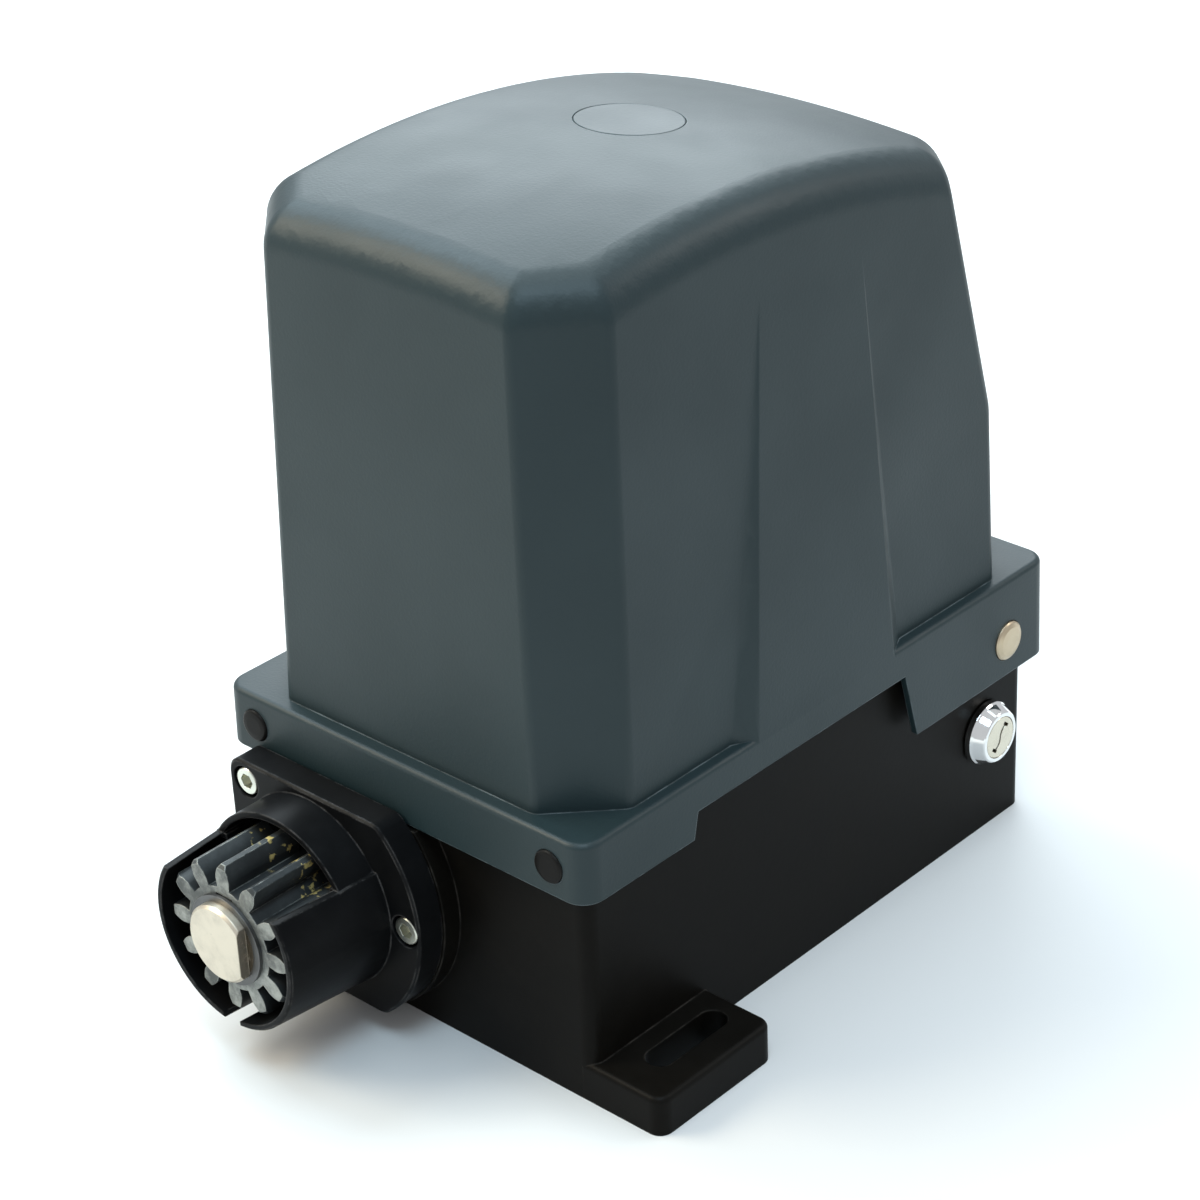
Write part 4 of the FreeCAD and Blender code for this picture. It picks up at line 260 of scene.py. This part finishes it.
def dust_group():
    """Dust that lies on faces that look up, in soft patches."""
    group, start, end = new_group(
        "Settled Dust",
        [("Amount", "NodeSocketFloat", 0.3), ("Patch Scale", "NodeSocketFloat", 18.0)],
        [("Mask", "NodeSocketFloat")],
    )
    geometry = node(group, "ShaderNodeNewGeometry", (-800, 100))
    split = node(group, "ShaderNodeSeparateXYZ", (-600, 100))
    group.links.new(geometry.outputs["Normal"], split.inputs[0])
    upward = ramp(group, (-400, 100), 0.2, 1.0, split.outputs["Z"])
    patches = noise_node(group, (-500, -200), start.outputs["Patch Scale"], detail=5.0, roughness=0.6)
    spread = ramp(group, (-300, -200), 0.35, 0.75, patches.outputs["Fac"])
    shared = maths(group, (-50, 0), "MULTIPLY", upward, spread)
    scaled = maths(group, (200, 0), "MULTIPLY", shared, start.outputs["Amount"], clamp=True)
    group.links.new(scaled, end.inputs["Mask"])
    return group


def machining_group():
    """Turning or brushing marks; Stretch says how they are squeezed along X, Y and Z."""
    group, start, end = new_group(
        "Machining Marks",
        [("Scale", "NodeSocketFloat", 900.0), ("Stretch", "NodeSocketVector", ROUND_Y)],
        [("Height", "NodeSocketFloat"), ("Streaks", "NodeSocketFloat")],
    )
    place = node(group, "ShaderNodeTexCoord", (-900, 0))
    mapping = node(group, "ShaderNodeMapping", (-700, 0))
    group.links.new(place.outputs["Object"], mapping.inputs["Vector"])
    group.links.new(start.outputs["Stretch"], mapping.inputs["Scale"])
    marks = node(group, "ShaderNodeTexNoise", (-450, 100))
    marks.inputs["Detail"].default_value = 4.0
    group.links.new(mapping.outputs["Vector"], marks.inputs["Vector"])
    group.links.new(start.outputs["Scale"], marks.inputs["Scale"])
    group.links.new(marks.outputs["Fac"], end.inputs["Height"])
    group.links.new(ramp(group, (0, -100), 0.35, 0.65, marks.outputs["Fac"]), end.inputs["Streaks"])
    return group


def use(tree, name, at, **values):
    """Places a shared effect in a material, with its own values."""
    made = node(tree, "ShaderNodeGroup", at, node_tree=GROUPS[name])
    for label, value in values.items():
        made.inputs[label.replace("_", " ")].default_value = value
    return made


# ---- materials -------------------------------------------------------------------------------------


def new_material(name, **values):
    """A material with one Principled shader; the values go on its sockets."""
    material = bpy.data.materials.new(name)
    material.use_nodes = True
    tree = material.node_tree
    shader = tree.nodes["Principled BSDF"]
    shader.location = (600, 0)
    for label, value in values.items():
        shader.inputs[label.replace("_", " ")].default_value = value
    return material, tree, shader


def bump(tree, shader, height, strength, distance, normal=None):
    """Links a height, and a normal if given, to the shader's Normal; the distance is in metres."""
    made = node(tree, "ShaderNodeBump", (350, -300))
    made.inputs["Strength"].default_value = strength
    made.inputs["Distance"].default_value = distance
    tree.links.new(height, made.inputs["Height"])
    if normal is not None:
        tree.links.new(normal, made.inputs["Normal"])
    tree.links.new(made.outputs["Normal"], shader.inputs["Normal"])


def painted_plastic(name, colour, worn, rough, wear=0.5):
    """Textured moulding: stipple, a slow mottle, a thin painted highlight along its edges and dust on top.
    """
    material, tree, shader = new_material(name, Roughness=rough, Specular_IOR_Level=0.3)
    grain = use(tree, "Moulded Grain", (-900, 0), Scale=1000.0, Mottle_Scale=14.0)
    edges = use(tree, "Edge Wear And Highlight", (-900, -300), Radius=0.0007, Amount=wear, Breakup=90.0)
    dust = use(tree, "Settled Dust", (-900, 300), Amount=0.25, Patch_Scale=11.0)
    base = mix_colour(tree, (-600, 0), grain.outputs["Mottle"], colour, shade(colour, 0.9))
    # Along the edges the colour turns to the given edge colour, which on the cover and its disc is a painted
    # highlight.
    edged = mix_colour(tree, (-350, 0), edges.outputs["Mask"], base, worn)
    dusty = mix_colour(tree, (-100, 0), dust.outputs["Mask"], edged, bright_shade(colour, 1.2, 0.012))
    tree.links.new(dusty, shader.inputs["Base Color"])
    sheen = mix_value(tree, (-100, -200), grain.outputs["Mottle"], rough - 0.03, rough + 0.05)
    tree.links.new(sheen, shader.inputs["Roughness"])
    bump(tree, shader, grain.outputs["Height"], strength=0.18, distance=0.00015,
         normal=edges.outputs["Normal"])
    return material


def painted_casting(name, colour, worn, rough, wear=0.8):
    """Satin paint on a casting: orange peel, worn edges, rubbed patches and a little dust."""
    material, tree, shader = new_material(name, Roughness=rough, Specular_IOR_Level=0.07)
    peel = noise_node(tree, (-900, 200), scale=420.0, detail=2.0, roughness=0.5)
    rubbed = noise_node(tree, (-900, 0), scale=30.0, detail=6.0, roughness=0.65)
    edges = use(tree, "Edge Wear And Highlight", (-900, -300), Radius=0.0009, Amount=wear, Breakup=140.0)
    dust = use(tree, "Settled Dust", (-900, 500), Amount=0.22, Patch_Scale=25.0)
    base = mix_colour(tree, (-600, 0), ramp(tree, (-700, 0), 0.35, 0.75, rubbed.outputs["Fac"]),
                      colour, shade(colour, 1.5, 0.001))
    edged = mix_colour(tree, (-350, 0), edges.outputs["Mask"], base, worn)
    dusty = mix_colour(tree, (-100, 0), dust.outputs["Mask"], edged, shade(colour, 3, 0.006))
    tree.links.new(dusty, shader.inputs["Base Color"])
    gloss = mix_value(tree, (-100, -200), rubbed.outputs["Fac"], rough - 0.08, rough + 0.12)
    tree.links.new(gloss, shader.inputs["Roughness"])
    bump(tree, shader, peel.outputs["Fac"], strength=0.12, distance=0.0002, normal=edges.outputs["Normal"])
    return material


def machined_metal(name, colour, rough, stretch=ROUND_Y, scale=900.0, tarnish=0.15, mark=0.08):
    """Bare metal with turning marks, slight tarnish and rounded edges."""
    material, tree, shader = new_material(name, Metallic=1.0, Roughness=rough)
    marks = use(tree, "Machining Marks", (-900, 0), Scale=scale, Stretch=stretch)
    edges = use(tree, "Edge Wear And Highlight", (-900, -300), Radius=0.0003, Amount=0.6, Breakup=300.0)
    stain = noise_node(tree, (-900, 300), scale=70.0, detail=6.0, roughness=0.6)
    spots = ramp(tree, (-700, 300), 0.45, 0.8, stain.outputs["Fac"])
    stained = maths(tree, (-650, 300), "MULTIPLY", spots, tarnish * 4)
    base = mix_colour(tree, (-400, 0), stained, colour, shade(colour, 0.45))
    bright = mix_colour(tree, (-150, 0), edges.outputs["Mask"], base, bright_shade(colour, 1.3, 0.05))
    tree.links.new(bright, shader.inputs["Base Color"])
    gloss = mix_value(tree, (-150, -200), marks.outputs["Streaks"], rough * 0.8, rough * 1.3)
    tree.links.new(gloss, shader.inputs["Roughness"])
    bump(tree, shader, marks.outputs["Height"], strength=mark, distance=0.0001,
         normal=edges.outputs["Normal"])
    return material


def plain_moulding(name, colour, rough, grain=600.0):
    """Small moulded or dipped pieces: fine grain and a faint colour change."""
    material, tree, shader = new_material(name, Roughness=rough)
    texture = use(tree, "Moulded Grain", (-700, 0), Scale=grain, Mottle_Scale=45.0)
    edges = use(tree, "Edge Wear And Highlight", (-700, -300), Radius=0.0004, Amount=0.35, Breakup=200.0)
    base = mix_colour(tree, (-400, 0), texture.outputs["Mottle"], colour, shade(colour, 0.85))
    edged = mix_colour(tree, (-150, 0), edges.outputs["Mask"], base, bright_shade(colour, 1.6, 0.03))
    tree.links.new(edged, shader.inputs["Base Color"])
    gloss = mix_value(tree, (-150, -200), texture.outputs["Mottle"], rough * 0.9, min(rough * 1.15, 1))
    tree.links.new(gloss, shader.inputs["Roughness"])
    bump(tree, shader, texture.outputs["Height"], strength=0.1, distance=0.0001,
         normal=edges.outputs["Normal"])
    return material


def pinion_steel(name, colour, worn, grease):
    """Dark steel teeth: bright where the rack rubs, with specks of grease near the guard."""
    material, tree, shader = new_material(name, Metallic=0.7, Roughness=0.48)
    marks = use(tree, "Machining Marks", (-1100, 0), Scale=500.0, Stretch=ALONG_TEETH)
    edges = use(tree, "Edge Wear And Highlight", (-1100, -300), Radius=0.0006, Amount=1.0, Breakup=160.0)
    patches = noise_node(tree, (-1100, 300), scale=55.0, detail=6.0, roughness=0.7)
    base = mix_colour(tree, (-700, 0), ramp(tree, (-800, 300), 0.35, 0.7, patches.outputs["Fac"]), colour,
                      shade(colour, 1.7))
    edged = mix_colour(tree, (-450, 0), edges.outputs["Mask"], base, worn)
    place = node(tree, "ShaderNodeTexCoord", (-1300, -500))
    split = node(tree, "ShaderNodeSeparateXYZ", (-1100, -500))
    tree.links.new(place.outputs["Normal"], split.inputs[0])
    end_face = ramp(tree, (-900, -500), -0.75, -0.97, split.outputs["Y"])
    patchy = ramp(tree, (-900, -900), 0.35, 0.65, patches.outputs["Fac"])
    rubbed = maths(tree, (-700, -500), "MULTIPLY", end_face,
                   mix_value(tree, (-900, -700), patchy, 0.15, 1.0))
    bright = mix_colour(tree, (-330, 0), rubbed, edged, worn)
    blobs = noise_node(tree, (-1100, 600), scale=260.0, detail=3.0, roughness=0.6)
    guard_end = along(tree, (-1100, 900), "Y", *GREASE_BAND)
    specks = ramp(tree, (-800, 600), 0.56, 0.62, blobs.outputs["Fac"])
    smear = maths(tree, (-600, 600), "MULTIPLY", guard_end, specks)
    greased = mix_colour(tree, (-200, 0), smear, bright, grease)
    tree.links.new(greased, shader.inputs["Base Color"])
    covered = maths(tree, (-350, 200), "MULTIPLY", smear, 0.65)
    tree.links.new(maths(tree, (-200, 200), "SUBTRACT", 0.7, covered), shader.inputs["Metallic"])
    tree.links.new(mix_value(tree, (-200, -200), smear, 0.52, 0.3), shader.inputs["Roughness"])
    height = maths(tree, (0, -300), "ADD", marks.outputs["Height"], smear)
    bump(tree, shader, height, strength=0.25, distance=0.0003, normal=edges.outputs["Normal"])
    return material


def shaft_steel(name, colour, stain):
    """Ground shaft: satin end with dirt specks, and a dark smear on its flat."""
    rough = 0.42
    material, tree, shader = new_material(name, Metallic=1.0, Roughness=rough)
    marks = use(tree, "Machining Marks", (-900, 0), Scale=260.0, Stretch=ALONG_SHAFT)
    edges = use(tree, "Edge Wear And Highlight", (-900, -300), Radius=0.0004, Amount=0.7, Breakup=300.0)
    specks = noise_node(tree, (-900, 300), scale=420.0, detail=4.0, roughness=0.7)
    clouds = noise_node(tree, (-900, 500), scale=110.0, detail=5.0, roughness=0.65)
    flat = maths(tree, (-900, 900), "MULTIPLY", along(tree, (-1100, 900), "X", *FLAT_BAND),
                 along(tree, (-1100, 1100), "Y", *END_BAND))
    patchy = ramp(tree, (-700, 500), 0.32, 0.5, clouds.outputs["Fac"])
    smear = maths(tree, (-700, 700), "MULTIPLY", flat, patchy)
    dirt = maths(tree, (-600, 300), "MAXIMUM", maths(tree, (-700, 300), "MULTIPLY", smear, 0.92),
                 ramp(tree, (-700, 300), 0.68, 0.78, specks.outputs["Fac"]))
    base = mix_colour(tree, (-500, 0), ramp(tree, (-700, 100), 0.4, 0.75, clouds.outputs["Fac"]), colour,
                      shade(colour, 0.8))
    rimmed = mix_colour(tree, (-350, 0), edges.outputs["Mask"], base, bright_shade(colour, 1.2))
    tree.links.new(mix_colour(tree, (-150, 0), dirt, rimmed, stain), shader.inputs["Base Color"])
    tree.links.new(mix_value(tree, (-150, -200), dirt, rough, 0.7), shader.inputs["Roughness"])
    bump(tree, shader, marks.outputs["Height"], strength=0.15, distance=0.0001,
         normal=edges.outputs["Normal"])
    return material


def stacked_sheets(name, colour, pitch):
    """Edges of stacked sheets, as fine bands up the piece, with a little rust; the pitch is in metres."""
    material, tree, shader = new_material(name, Metallic=0.8, Roughness=0.45)
    place = node(tree, "ShaderNodeTexCoord", (-1000, 0))
    bands = node(tree, "ShaderNodeTexWave", (-750, 0), bands_direction="Z")
    bands.inputs["Scale"].default_value = 1 / pitch / 2
    bands.inputs["Distortion"].default_value = 0.3
    tree.links.new(place.outputs["Object"], bands.inputs["Vector"])
    rust = noise_node(tree, (-750, 300), scale=60.0, detail=5.0, roughness=0.6)
    base = mix_colour(tree, (-400, 0), bands.outputs["Fac"], shade(colour, 0.7), colour)
    aged = mix_colour(tree, (-150, 0), ramp(tree, (-400, 300), 0.6, 0.8, rust.outputs["Fac"]), base, RUST)
    tree.links.new(aged, shader.inputs["Base Color"])
    bump(tree, shader, bands.outputs["Fac"], strength=0.3, distance=0.0002)
    return material


def wound_wire(name, colour):
    """Varnished wire, with fine turns that run round the coil."""
    material, tree, shader = new_material(
        name, Metallic=0.6, Roughness=0.3, Coat_Weight=0.6, Coat_Roughness=0.15)
    place = node(tree, "ShaderNodeTexCoord", (-1000, 0))
    turns = node(tree, "ShaderNodeTexWave", (-750, 0), bands_direction="Z")
    turns.inputs["Scale"].default_value = 330.0
    turns.inputs["Distortion"].default_value = 1.2
    tree.links.new(place.outputs["Object"], turns.inputs["Vector"])
    base = mix_colour(tree, (-400, 0), turns.outputs["Fac"], shade(colour, 0.35), colour)
    tree.links.new(base, shader.inputs["Base Color"])
    bump(tree, shader, turns.outputs["Fac"], strength=0.6, distance=0.0004)
    return material


def circuit_board(name, colour):
    """Solder mask with faint tracks below it."""
    material, tree, shader = new_material(name, Roughness=0.35, Coat_Weight=0.3)
    place = node(tree, "ShaderNodeTexCoord", (-1000, 0))
    tracks = node(tree, "ShaderNodeTexBrick", (-700, 0))
    tracks.inputs["Scale"].default_value = 160.0
    tracks.inputs["Mortar Size"].default_value = 0.03
    tree.links.new(place.outputs["Object"], tracks.inputs["Vector"])
    base = mix_colour(tree, (-350, 0), tracks.outputs["Fac"], colour, shade(colour, 1.8, 0.01))
    tree.links.new(base, shader.inputs["Base Color"])
    bump(tree, shader, tracks.outputs["Fac"], strength=0.2, distance=0.00005)
    return material


def clean_shell(name, body):
    """A welded copy of a CAD node's mesh, with normals weighted by face so that long curves shade evenly."""
    source = NODES[name]
    mesh = source.data.copy()
    for layer in ("custom_normal", "sharp_edge"):
        if layer in mesh.attributes:
            mesh.attributes.remove(mesh.attributes[layer])
    shape = bmesh.new()
    shape.from_mesh(mesh)
    bmesh.ops.remove_doubles(shape, verts=shape.verts, dist=WELD_DISTANCE)
    for face in shape.faces:
        face.smooth = True
    shape.to_mesh(mesh)
    shape.free()
    mesh.set_sharp_from_angle(angle=SHARP_EDGE)
    shell = bpy.data.objects.new(name + "_shell", mesh)
    shell.matrix_world = source.matrix_world
    bpy.context.scene.collection.objects.link(shell)
    weigh = shell.modifiers.new("even normals", "WEIGHTED_NORMAL")
    weigh.mode = "FACE_AREA"
    weigh.weight = FACE_WEIGHT
    weigh.keep_sharp = True
    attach(shell, body)
    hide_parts(name)
    return shell


def dress(material, *names):
    """Gives CAD nodes their finish."""
    for name in names:
        piece = NODES[name]
        for slot in piece.material_slots:
            slot.material = material
        if not piece.material_slots:
            piece.data.materials.append(material)


# ---- settings --------------------------------------------------------------------------------------


class GateMotorColours(bpy.types.PropertyGroup):
    """Colours of the finishes."""

    cover: bpy.props.FloatVectorProperty(
        name="Cover", description="Moulded cover", subtype="COLOR", size=3, min=0, max=1,
        default=(0.0125, 0.025, 0.028))
    # The cover's edge colour is a painted highlight, far lighter and bluer than the cover.
    cover_edge_highlight: bpy.props.FloatVectorProperty(
        name="Cover edge highlight", description="Cover's painted highlight along its edges", subtype="COLOR", size=3,
        min=0, max=1, default=(0.20, 0.245, 0.26))
    base_paint: bpy.props.FloatVectorProperty(
        name="Base paint", description="Paint on the base casting", subtype="COLOR", size=3, min=0, max=1,
        default=(0.0026, 0.0022, 0.0016))
    pinion: bpy.props.FloatVectorProperty(
        name="Pinion", description="Steel of the drive pinion", subtype="COLOR", size=3, min=0, max=1,
        default=(0.038, 0.042, 0.043))
    grease: bpy.props.FloatVectorProperty(
        name="Grease", description="Specks of grease on the pinion", subtype="COLOR", size=3, min=0, max=1,
        default=(0.42, 0.33, 0.12))


class GateMotorStudio(bpy.types.PropertyGroup):
    """Camera and light."""

    azimuth: bpy.props.FloatProperty(
        name="Azimuth", description="Camera's turn round the motor", subtype="ANGLE", unit="ROTATION",
        default=math.radians(43.42))
    elevation: bpy.props.FloatProperty(
        name="Elevation", description="Camera's height above level", subtype="ANGLE", unit="ROTATION",
        default=math.radians(28.89))
    roll: bpy.props.FloatProperty(
        name="Roll", description="Camera's turn about its own line of sight", subtype="ANGLE",
        unit="ROTATION", default=math.radians(-2.49))
    distance: bpy.props.FloatProperty(
        name="Distance", description="From the aim to the camera", subtype="DISTANCE", unit="LENGTH",
        default=1.12168)
    aim: bpy.props.FloatVectorProperty(
        name="Aim", description="Point the camera looks at", subtype="XYZ", unit="LENGTH", size=3,
        default=(-0.04266, 0.02181, 0.08465))
    focal_length: bpy.props.FloatProperty(
        name="Focal length", description="In millimetres on a 36 mm sensor", default=93.2, min=10)
    sky: bpy.props.FloatProperty(
        name="Sky", description="Strength of the even light all round", default=0.7, min=0)


# ---- operators -------------------------------------------------------------------------------------


class GATE_OT_effects(bpy.types.Operator):
    """Builds the shader groups that the finishes share"""

    bl_idname = "gate.effects"
    bl_label = "Shared Effects"

    def execute(self, context):
        GROUPS["Edge Wear And Highlight"] = edge_wear_and_highlight_group()
        GROUPS["Moulded Grain"] = moulded_grain_group()
        GROUPS["Settled Dust"] = dust_group()
        GROUPS["Machining Marks"] = machining_group()
        return {"FINISHED"}


class GATE_OT_cover(bpy.types.Operator):
    """Finishes the cover, its disc, caps and gasket"""

    bl_idname = "gate.cover"
    bl_label = "Cover"

    def execute(self, context):
        colours = context.scene.gate_colours
        shell = clean_shell("top_cover", "cover")
        shell.data.materials.clear()
        # The cover and its disc take the painted edge highlight as their edge colour.
        shell.data.materials.append(
            painted_plastic("Cover Plastic", tuple(colours.cover), tuple(colours.cover_edge_highlight), rough=0.44))
        disc = shade(colours.cover, 1.04)
        dress(painted_plastic("Disc Plastic", disc, tuple(colours.cover_edge_highlight), rough=0.4, wear=0.3),
              "cover_badge")
        dress(painted_casting("Cap Plastic", (0.005, 0.0046, 0.0042), worn=(0.06, 0.057, 0.052), rough=0.3,
                              wear=0.6), "cover_caps")
        dress(plain_moulding("Gasket Rubber", (0.016, 0.016, 0.016), rough=0.8, grain=500.0), "cover_gasket")
        return {"FINISHED"}


class GATE_OT_base(bpy.types.Operator):
    """Finishes the base and the pinion guard"""

    bl_idname = "gate.base"
    bl_label = "Base and Guard"

    def execute(self, context):
        paint = tuple(context.scene.gate_colours.base_paint)
        dress(painted_casting("Base Paint", paint, worn=(0.07, 0.062, 0.052), rough=0.42, wear=0.4),
              "base_housing")
        dress(painted_casting("Guard Paint", (0.0036, 0.0038, 0.0041), worn=(0.13, 0.125, 0.12), rough=0.36,
                              wear=0.5), "pinion_guard")
        return {"FINISHED"}


class GATE_OT_drive(bpy.types.Operator):
    """Finishes the pinion, the shaft and what holds them"""

    bl_idname = "gate.drive"
    bl_label = "Pinion and Shaft"

    def execute(self, context):
        colours = context.scene.gate_colours
        dress(pinion_steel("Pinion Steel", tuple(colours.pinion), worn=(0.36, 0.37, 0.34),
                           grease=tuple(colours.grease)), "drive_pinion")
        dress(shaft_steel("Shaft Steel", (0.62, 0.56, 0.46), stain=(0.05, 0.035, 0.02)), "output_shaft")
        dress(machined_metal("Clip Steel", (0.12, 0.12, 0.12), rough=0.4), "pinion_clip")
        dress(machined_metal("Screw Steel", (0.66, 0.67, 0.59), rough=0.28), "guard_screws")
        return {"FINISHED"}


class GATE_OT_lock(bpy.types.Operator):
    """Finishes the release lock and the side screws"""

    bl_idname = "gate.lock"
    bl_label = "Lock and Side Screws"

    def execute(self, context):
        dress(machined_metal("Bezel Chrome", (0.82, 0.82, 0.81), rough=0.08, stretch=ROUND_X, scale=700.0,
                             tarnish=0.05, mark=0.03), "lock_body")
        dress(machined_metal("Plug Steel", (0.66, 0.61, 0.5), rough=0.3, stretch=ROUND_X, tarnish=0.2),
              "lock_plug")
        dress(machined_metal("Side Screw Steel", (0.5, 0.41, 0.29), rough=0.34, stretch=ROUND_X, scale=800.0,
                             tarnish=0.14), "cover_side_screws")
        return {"FINISHED"}


class GATE_OT_works(bpy.types.Operator):
    """Finishes the gearbox, the motor and the release inside"""

    bl_idname = "gate.works"
    bl_label = "Gearbox and Motor"

    def execute(self, context):
        dress(painted_casting("Cast Aluminium", (0.36, 0.37, 0.37), worn=(0.6, 0.6, 0.6), rough=0.45),
              "gear_case", "lower_shield", "upper_shield", "rear_support")
        dress(machined_metal("Bearing Steel", (0.62, 0.62, 0.62), rough=0.25), "front_bearing",
              "rear_bearing", "wheel_bearing", "wheel_hub", "clutch_sleeve", "spacer_sleeve", "shaft_keys")
        dress(machined_metal("Worm Steel", (0.6, 0.6, 0.6), rough=0.25, stretch=ROUND_Z), "worm_shaft",
              "worm_bearing", "motor_bearings")
        dress(machined_metal("Wheel Bronze", (0.68, 0.42, 0.17), rough=0.32), "worm_wheel")
        dress(stacked_sheets("Motor Sheets", (0.3, 0.3, 0.32), pitch=0.0007), "stator_core", "rotor_core")
        dress(wound_wire("Motor Wire", (0.5, 0.2, 0.07)), "stator_windings")
        dress(machined_metal("Zinc Plate", (0.62, 0.63, 0.6), rough=0.35, stretch=PLATE_SPANGLE, scale=400.0,
                             tarnish=0.3), "support_screws", "motor_tie_screws", "motor_flange_screws",
              "release_bar", "lock_cam", "lock_nut", "cover_nuts", "cover_front_screws")
        dress(plain_moulding("Black Rubber", (0.016, 0.016, 0.016), rough=0.75, grain=500.0), "oil_seal",
              "cable_grommet")
        dress(plain_moulding("Guide Plastic", (0.025, 0.025, 0.027), rough=0.45), "bar_guides")
        return {"FINISHED"}


class GATE_OT_controls(bpy.types.Operator):
    """Finishes the chassis and the electronics"""

    bl_idname = "gate.controls"
    bl_label = "Controls"

    def execute(self, context):
        dress(machined_metal("Chassis Zinc", (0.58, 0.6, 0.58), rough=0.38, stretch=CHASSIS_SPANGLE,
                             scale=120.0, tarnish=0.4), "chassis_plate", "chassis_screws")
        dress(circuit_board("Board Green", (0.012, 0.085, 0.035)), "control_board")
        dress(plain_moulding("White Nylon", (0.62, 0.61, 0.57), rough=0.5), "board_standoffs", "fuse_holder")
        dress(plain_moulding("Terminal Green", (0.03, 0.22, 0.07), rough=0.35), "terminal_blocks")
        dress(plain_moulding("Relay Blue", (0.02, 0.07, 0.3), rough=0.3), "relays")
        dress(plain_moulding("Sleeve Blue", (0.015, 0.02, 0.06), rough=0.25), "board_capacitor")
        dress(plain_moulding("Capacitor Grey", (0.35, 0.35, 0.34), rough=0.35), "run_capacitor")
        dress(plain_moulding("Black Plastic", (0.025, 0.025, 0.027), rough=0.45), "capacitor_cup",
              "limit_sensor")
        dress(stacked_sheets("Transformer Sheets", (0.22, 0.22, 0.24), pitch=0.001), "transformer_core")
        dress(wound_wire("Transformer Wire", (0.45, 0.19, 0.07)), "transformer_coil")
        return {"FINISHED"}


class GATE_OT_stage(bpy.types.Operator):
    """Sets the floor, the light and the camera"""

    bl_idname = "gate.stage"
    bl_label = "Stage"

    def execute(self, context):
        studio = context.scene.gate_studio
        low, high = CAD_BOX
        middle = (Vector(low) + Vector(high)) / 2
        size = (Vector(high) - Vector(low)).length
        self.floor(size)
        self.light(middle, size, studio.sky)
        self.camera(studio)
        return {"FINISHED"}

    @staticmethod
    def floor(size):
        mesh = bpy.data.meshes.new("floor")
        shape = bmesh.new()
        bmesh.ops.create_grid(shape, x_segments=1, y_segments=1, size=size * FLOOR_REACH)
        shape.to_mesh(mesh)
        shape.free()
        floor = bpy.data.objects.new("floor", mesh)
        bpy.context.scene.collection.objects.link(floor)
        material, tree, shader = new_material("Studio Floor", Roughness=0.9)
        faint = noise_node(tree, (-500, 0), scale=3.0, detail=2.0, roughness=0.5)
        pale = mix_colour(tree, (-200, 0), faint.outputs["Fac"], *FLOOR_COLOURS)
        tree.links.new(pale, shader.inputs["Base Color"])
        mesh.materials.append(material)

    @staticmethod
    def light(middle, size, sky):
        world = bpy.data.worlds.new("studio")
        world.use_nodes = True
        background = world.node_tree.nodes["Background"]
        background.inputs["Color"].default_value = SKY_COLOUR
        background.inputs["Strength"].default_value = sky
        bpy.context.scene.world = world
        bpy.context.scene.view_settings.view_transform = "Standard"
        for name, offset, side, power, colour in LAMPS:
            lamp = bpy.data.lights.new(name, "AREA")
            lamp.shape = "SQUARE"
            lamp.size = side * size
            lamp.energy = power
            lamp.color = colour
            holder = bpy.data.objects.new(name, lamp)
            place = middle + Vector(offset) * size
            holder.location = place
            holder.rotation_euler = (middle - place).to_track_quat("-Z", "Y").to_euler()
            bpy.context.scene.collection.objects.link(holder)

    @staticmethod
    def camera(studio):
        back = Vector((math.sin(studio.azimuth) * math.cos(studio.elevation),
                       -math.cos(studio.azimuth) * math.cos(studio.elevation),
                       math.sin(studio.elevation)))
        lens = bpy.data.cameras.new("camera")
        lens.sensor_width = SENSOR_WIDTH
        lens.lens = studio.focal_length
        lens.clip_start = NEAREST
        lens.clip_end = FARTHEST
        holder = bpy.data.objects.new("camera", lens)
        level = (-back).to_track_quat("-Z", "Y").to_matrix().to_4x4()
        holder.matrix_world = (Matrix.Translation(Vector(studio.aim) + back * studio.distance)
                               @ level @ Matrix.Rotation(studio.roll, 4, "Z"))
        bpy.context.scene.collection.objects.link(holder)
        bpy.context.scene.camera = holder


class GATE_PT_looks(bpy.types.Panel):
    """Lists the settings and the steps"""

    bl_label = "Gate Motor"
    bl_idname = "GATE_PT_looks"
    bl_space_type = "VIEW_3D"
    bl_region_type = "UI"
    bl_category = "Gate Motor"

    def draw(self, context):
        layout = self.layout
        for settings in (context.scene.gate_colours, context.scene.gate_studio):
            box = layout.box()
            for name in settings.bl_rna.properties.keys():
                if name not in ("rna_type", "name"):
                    box.prop(settings, name)
        for step in STEPS:
            layout.operator(step.bl_idname)


SETTINGS = (GateMotorColours, GateMotorStudio)
STEPS = (GATE_OT_effects, GATE_OT_cover, GATE_OT_base, GATE_OT_drive, GATE_OT_lock, GATE_OT_works,
         GATE_OT_controls, GATE_OT_stage)


def register():
    for cls in (*SETTINGS, *STEPS, GATE_PT_looks):
        bpy.utils.register_class(cls)
    bpy.types.Scene.gate_colours = bpy.props.PointerProperty(type=GateMotorColours)
    bpy.types.Scene.gate_studio = bpy.props.PointerProperty(type=GateMotorStudio)


def unregister():
    del bpy.types.Scene.gate_studio
    del bpy.types.Scene.gate_colours
    for cls in reversed((*SETTINGS, *STEPS, GATE_PT_looks)):
        bpy.utils.unregister_class(cls)


def main():
    register()
    for step in STEPS:
        family, name = step.bl_idname.split(".")
        getattr(getattr(bpy.ops, family), name)()


if __name__ == "__main__":
    main()
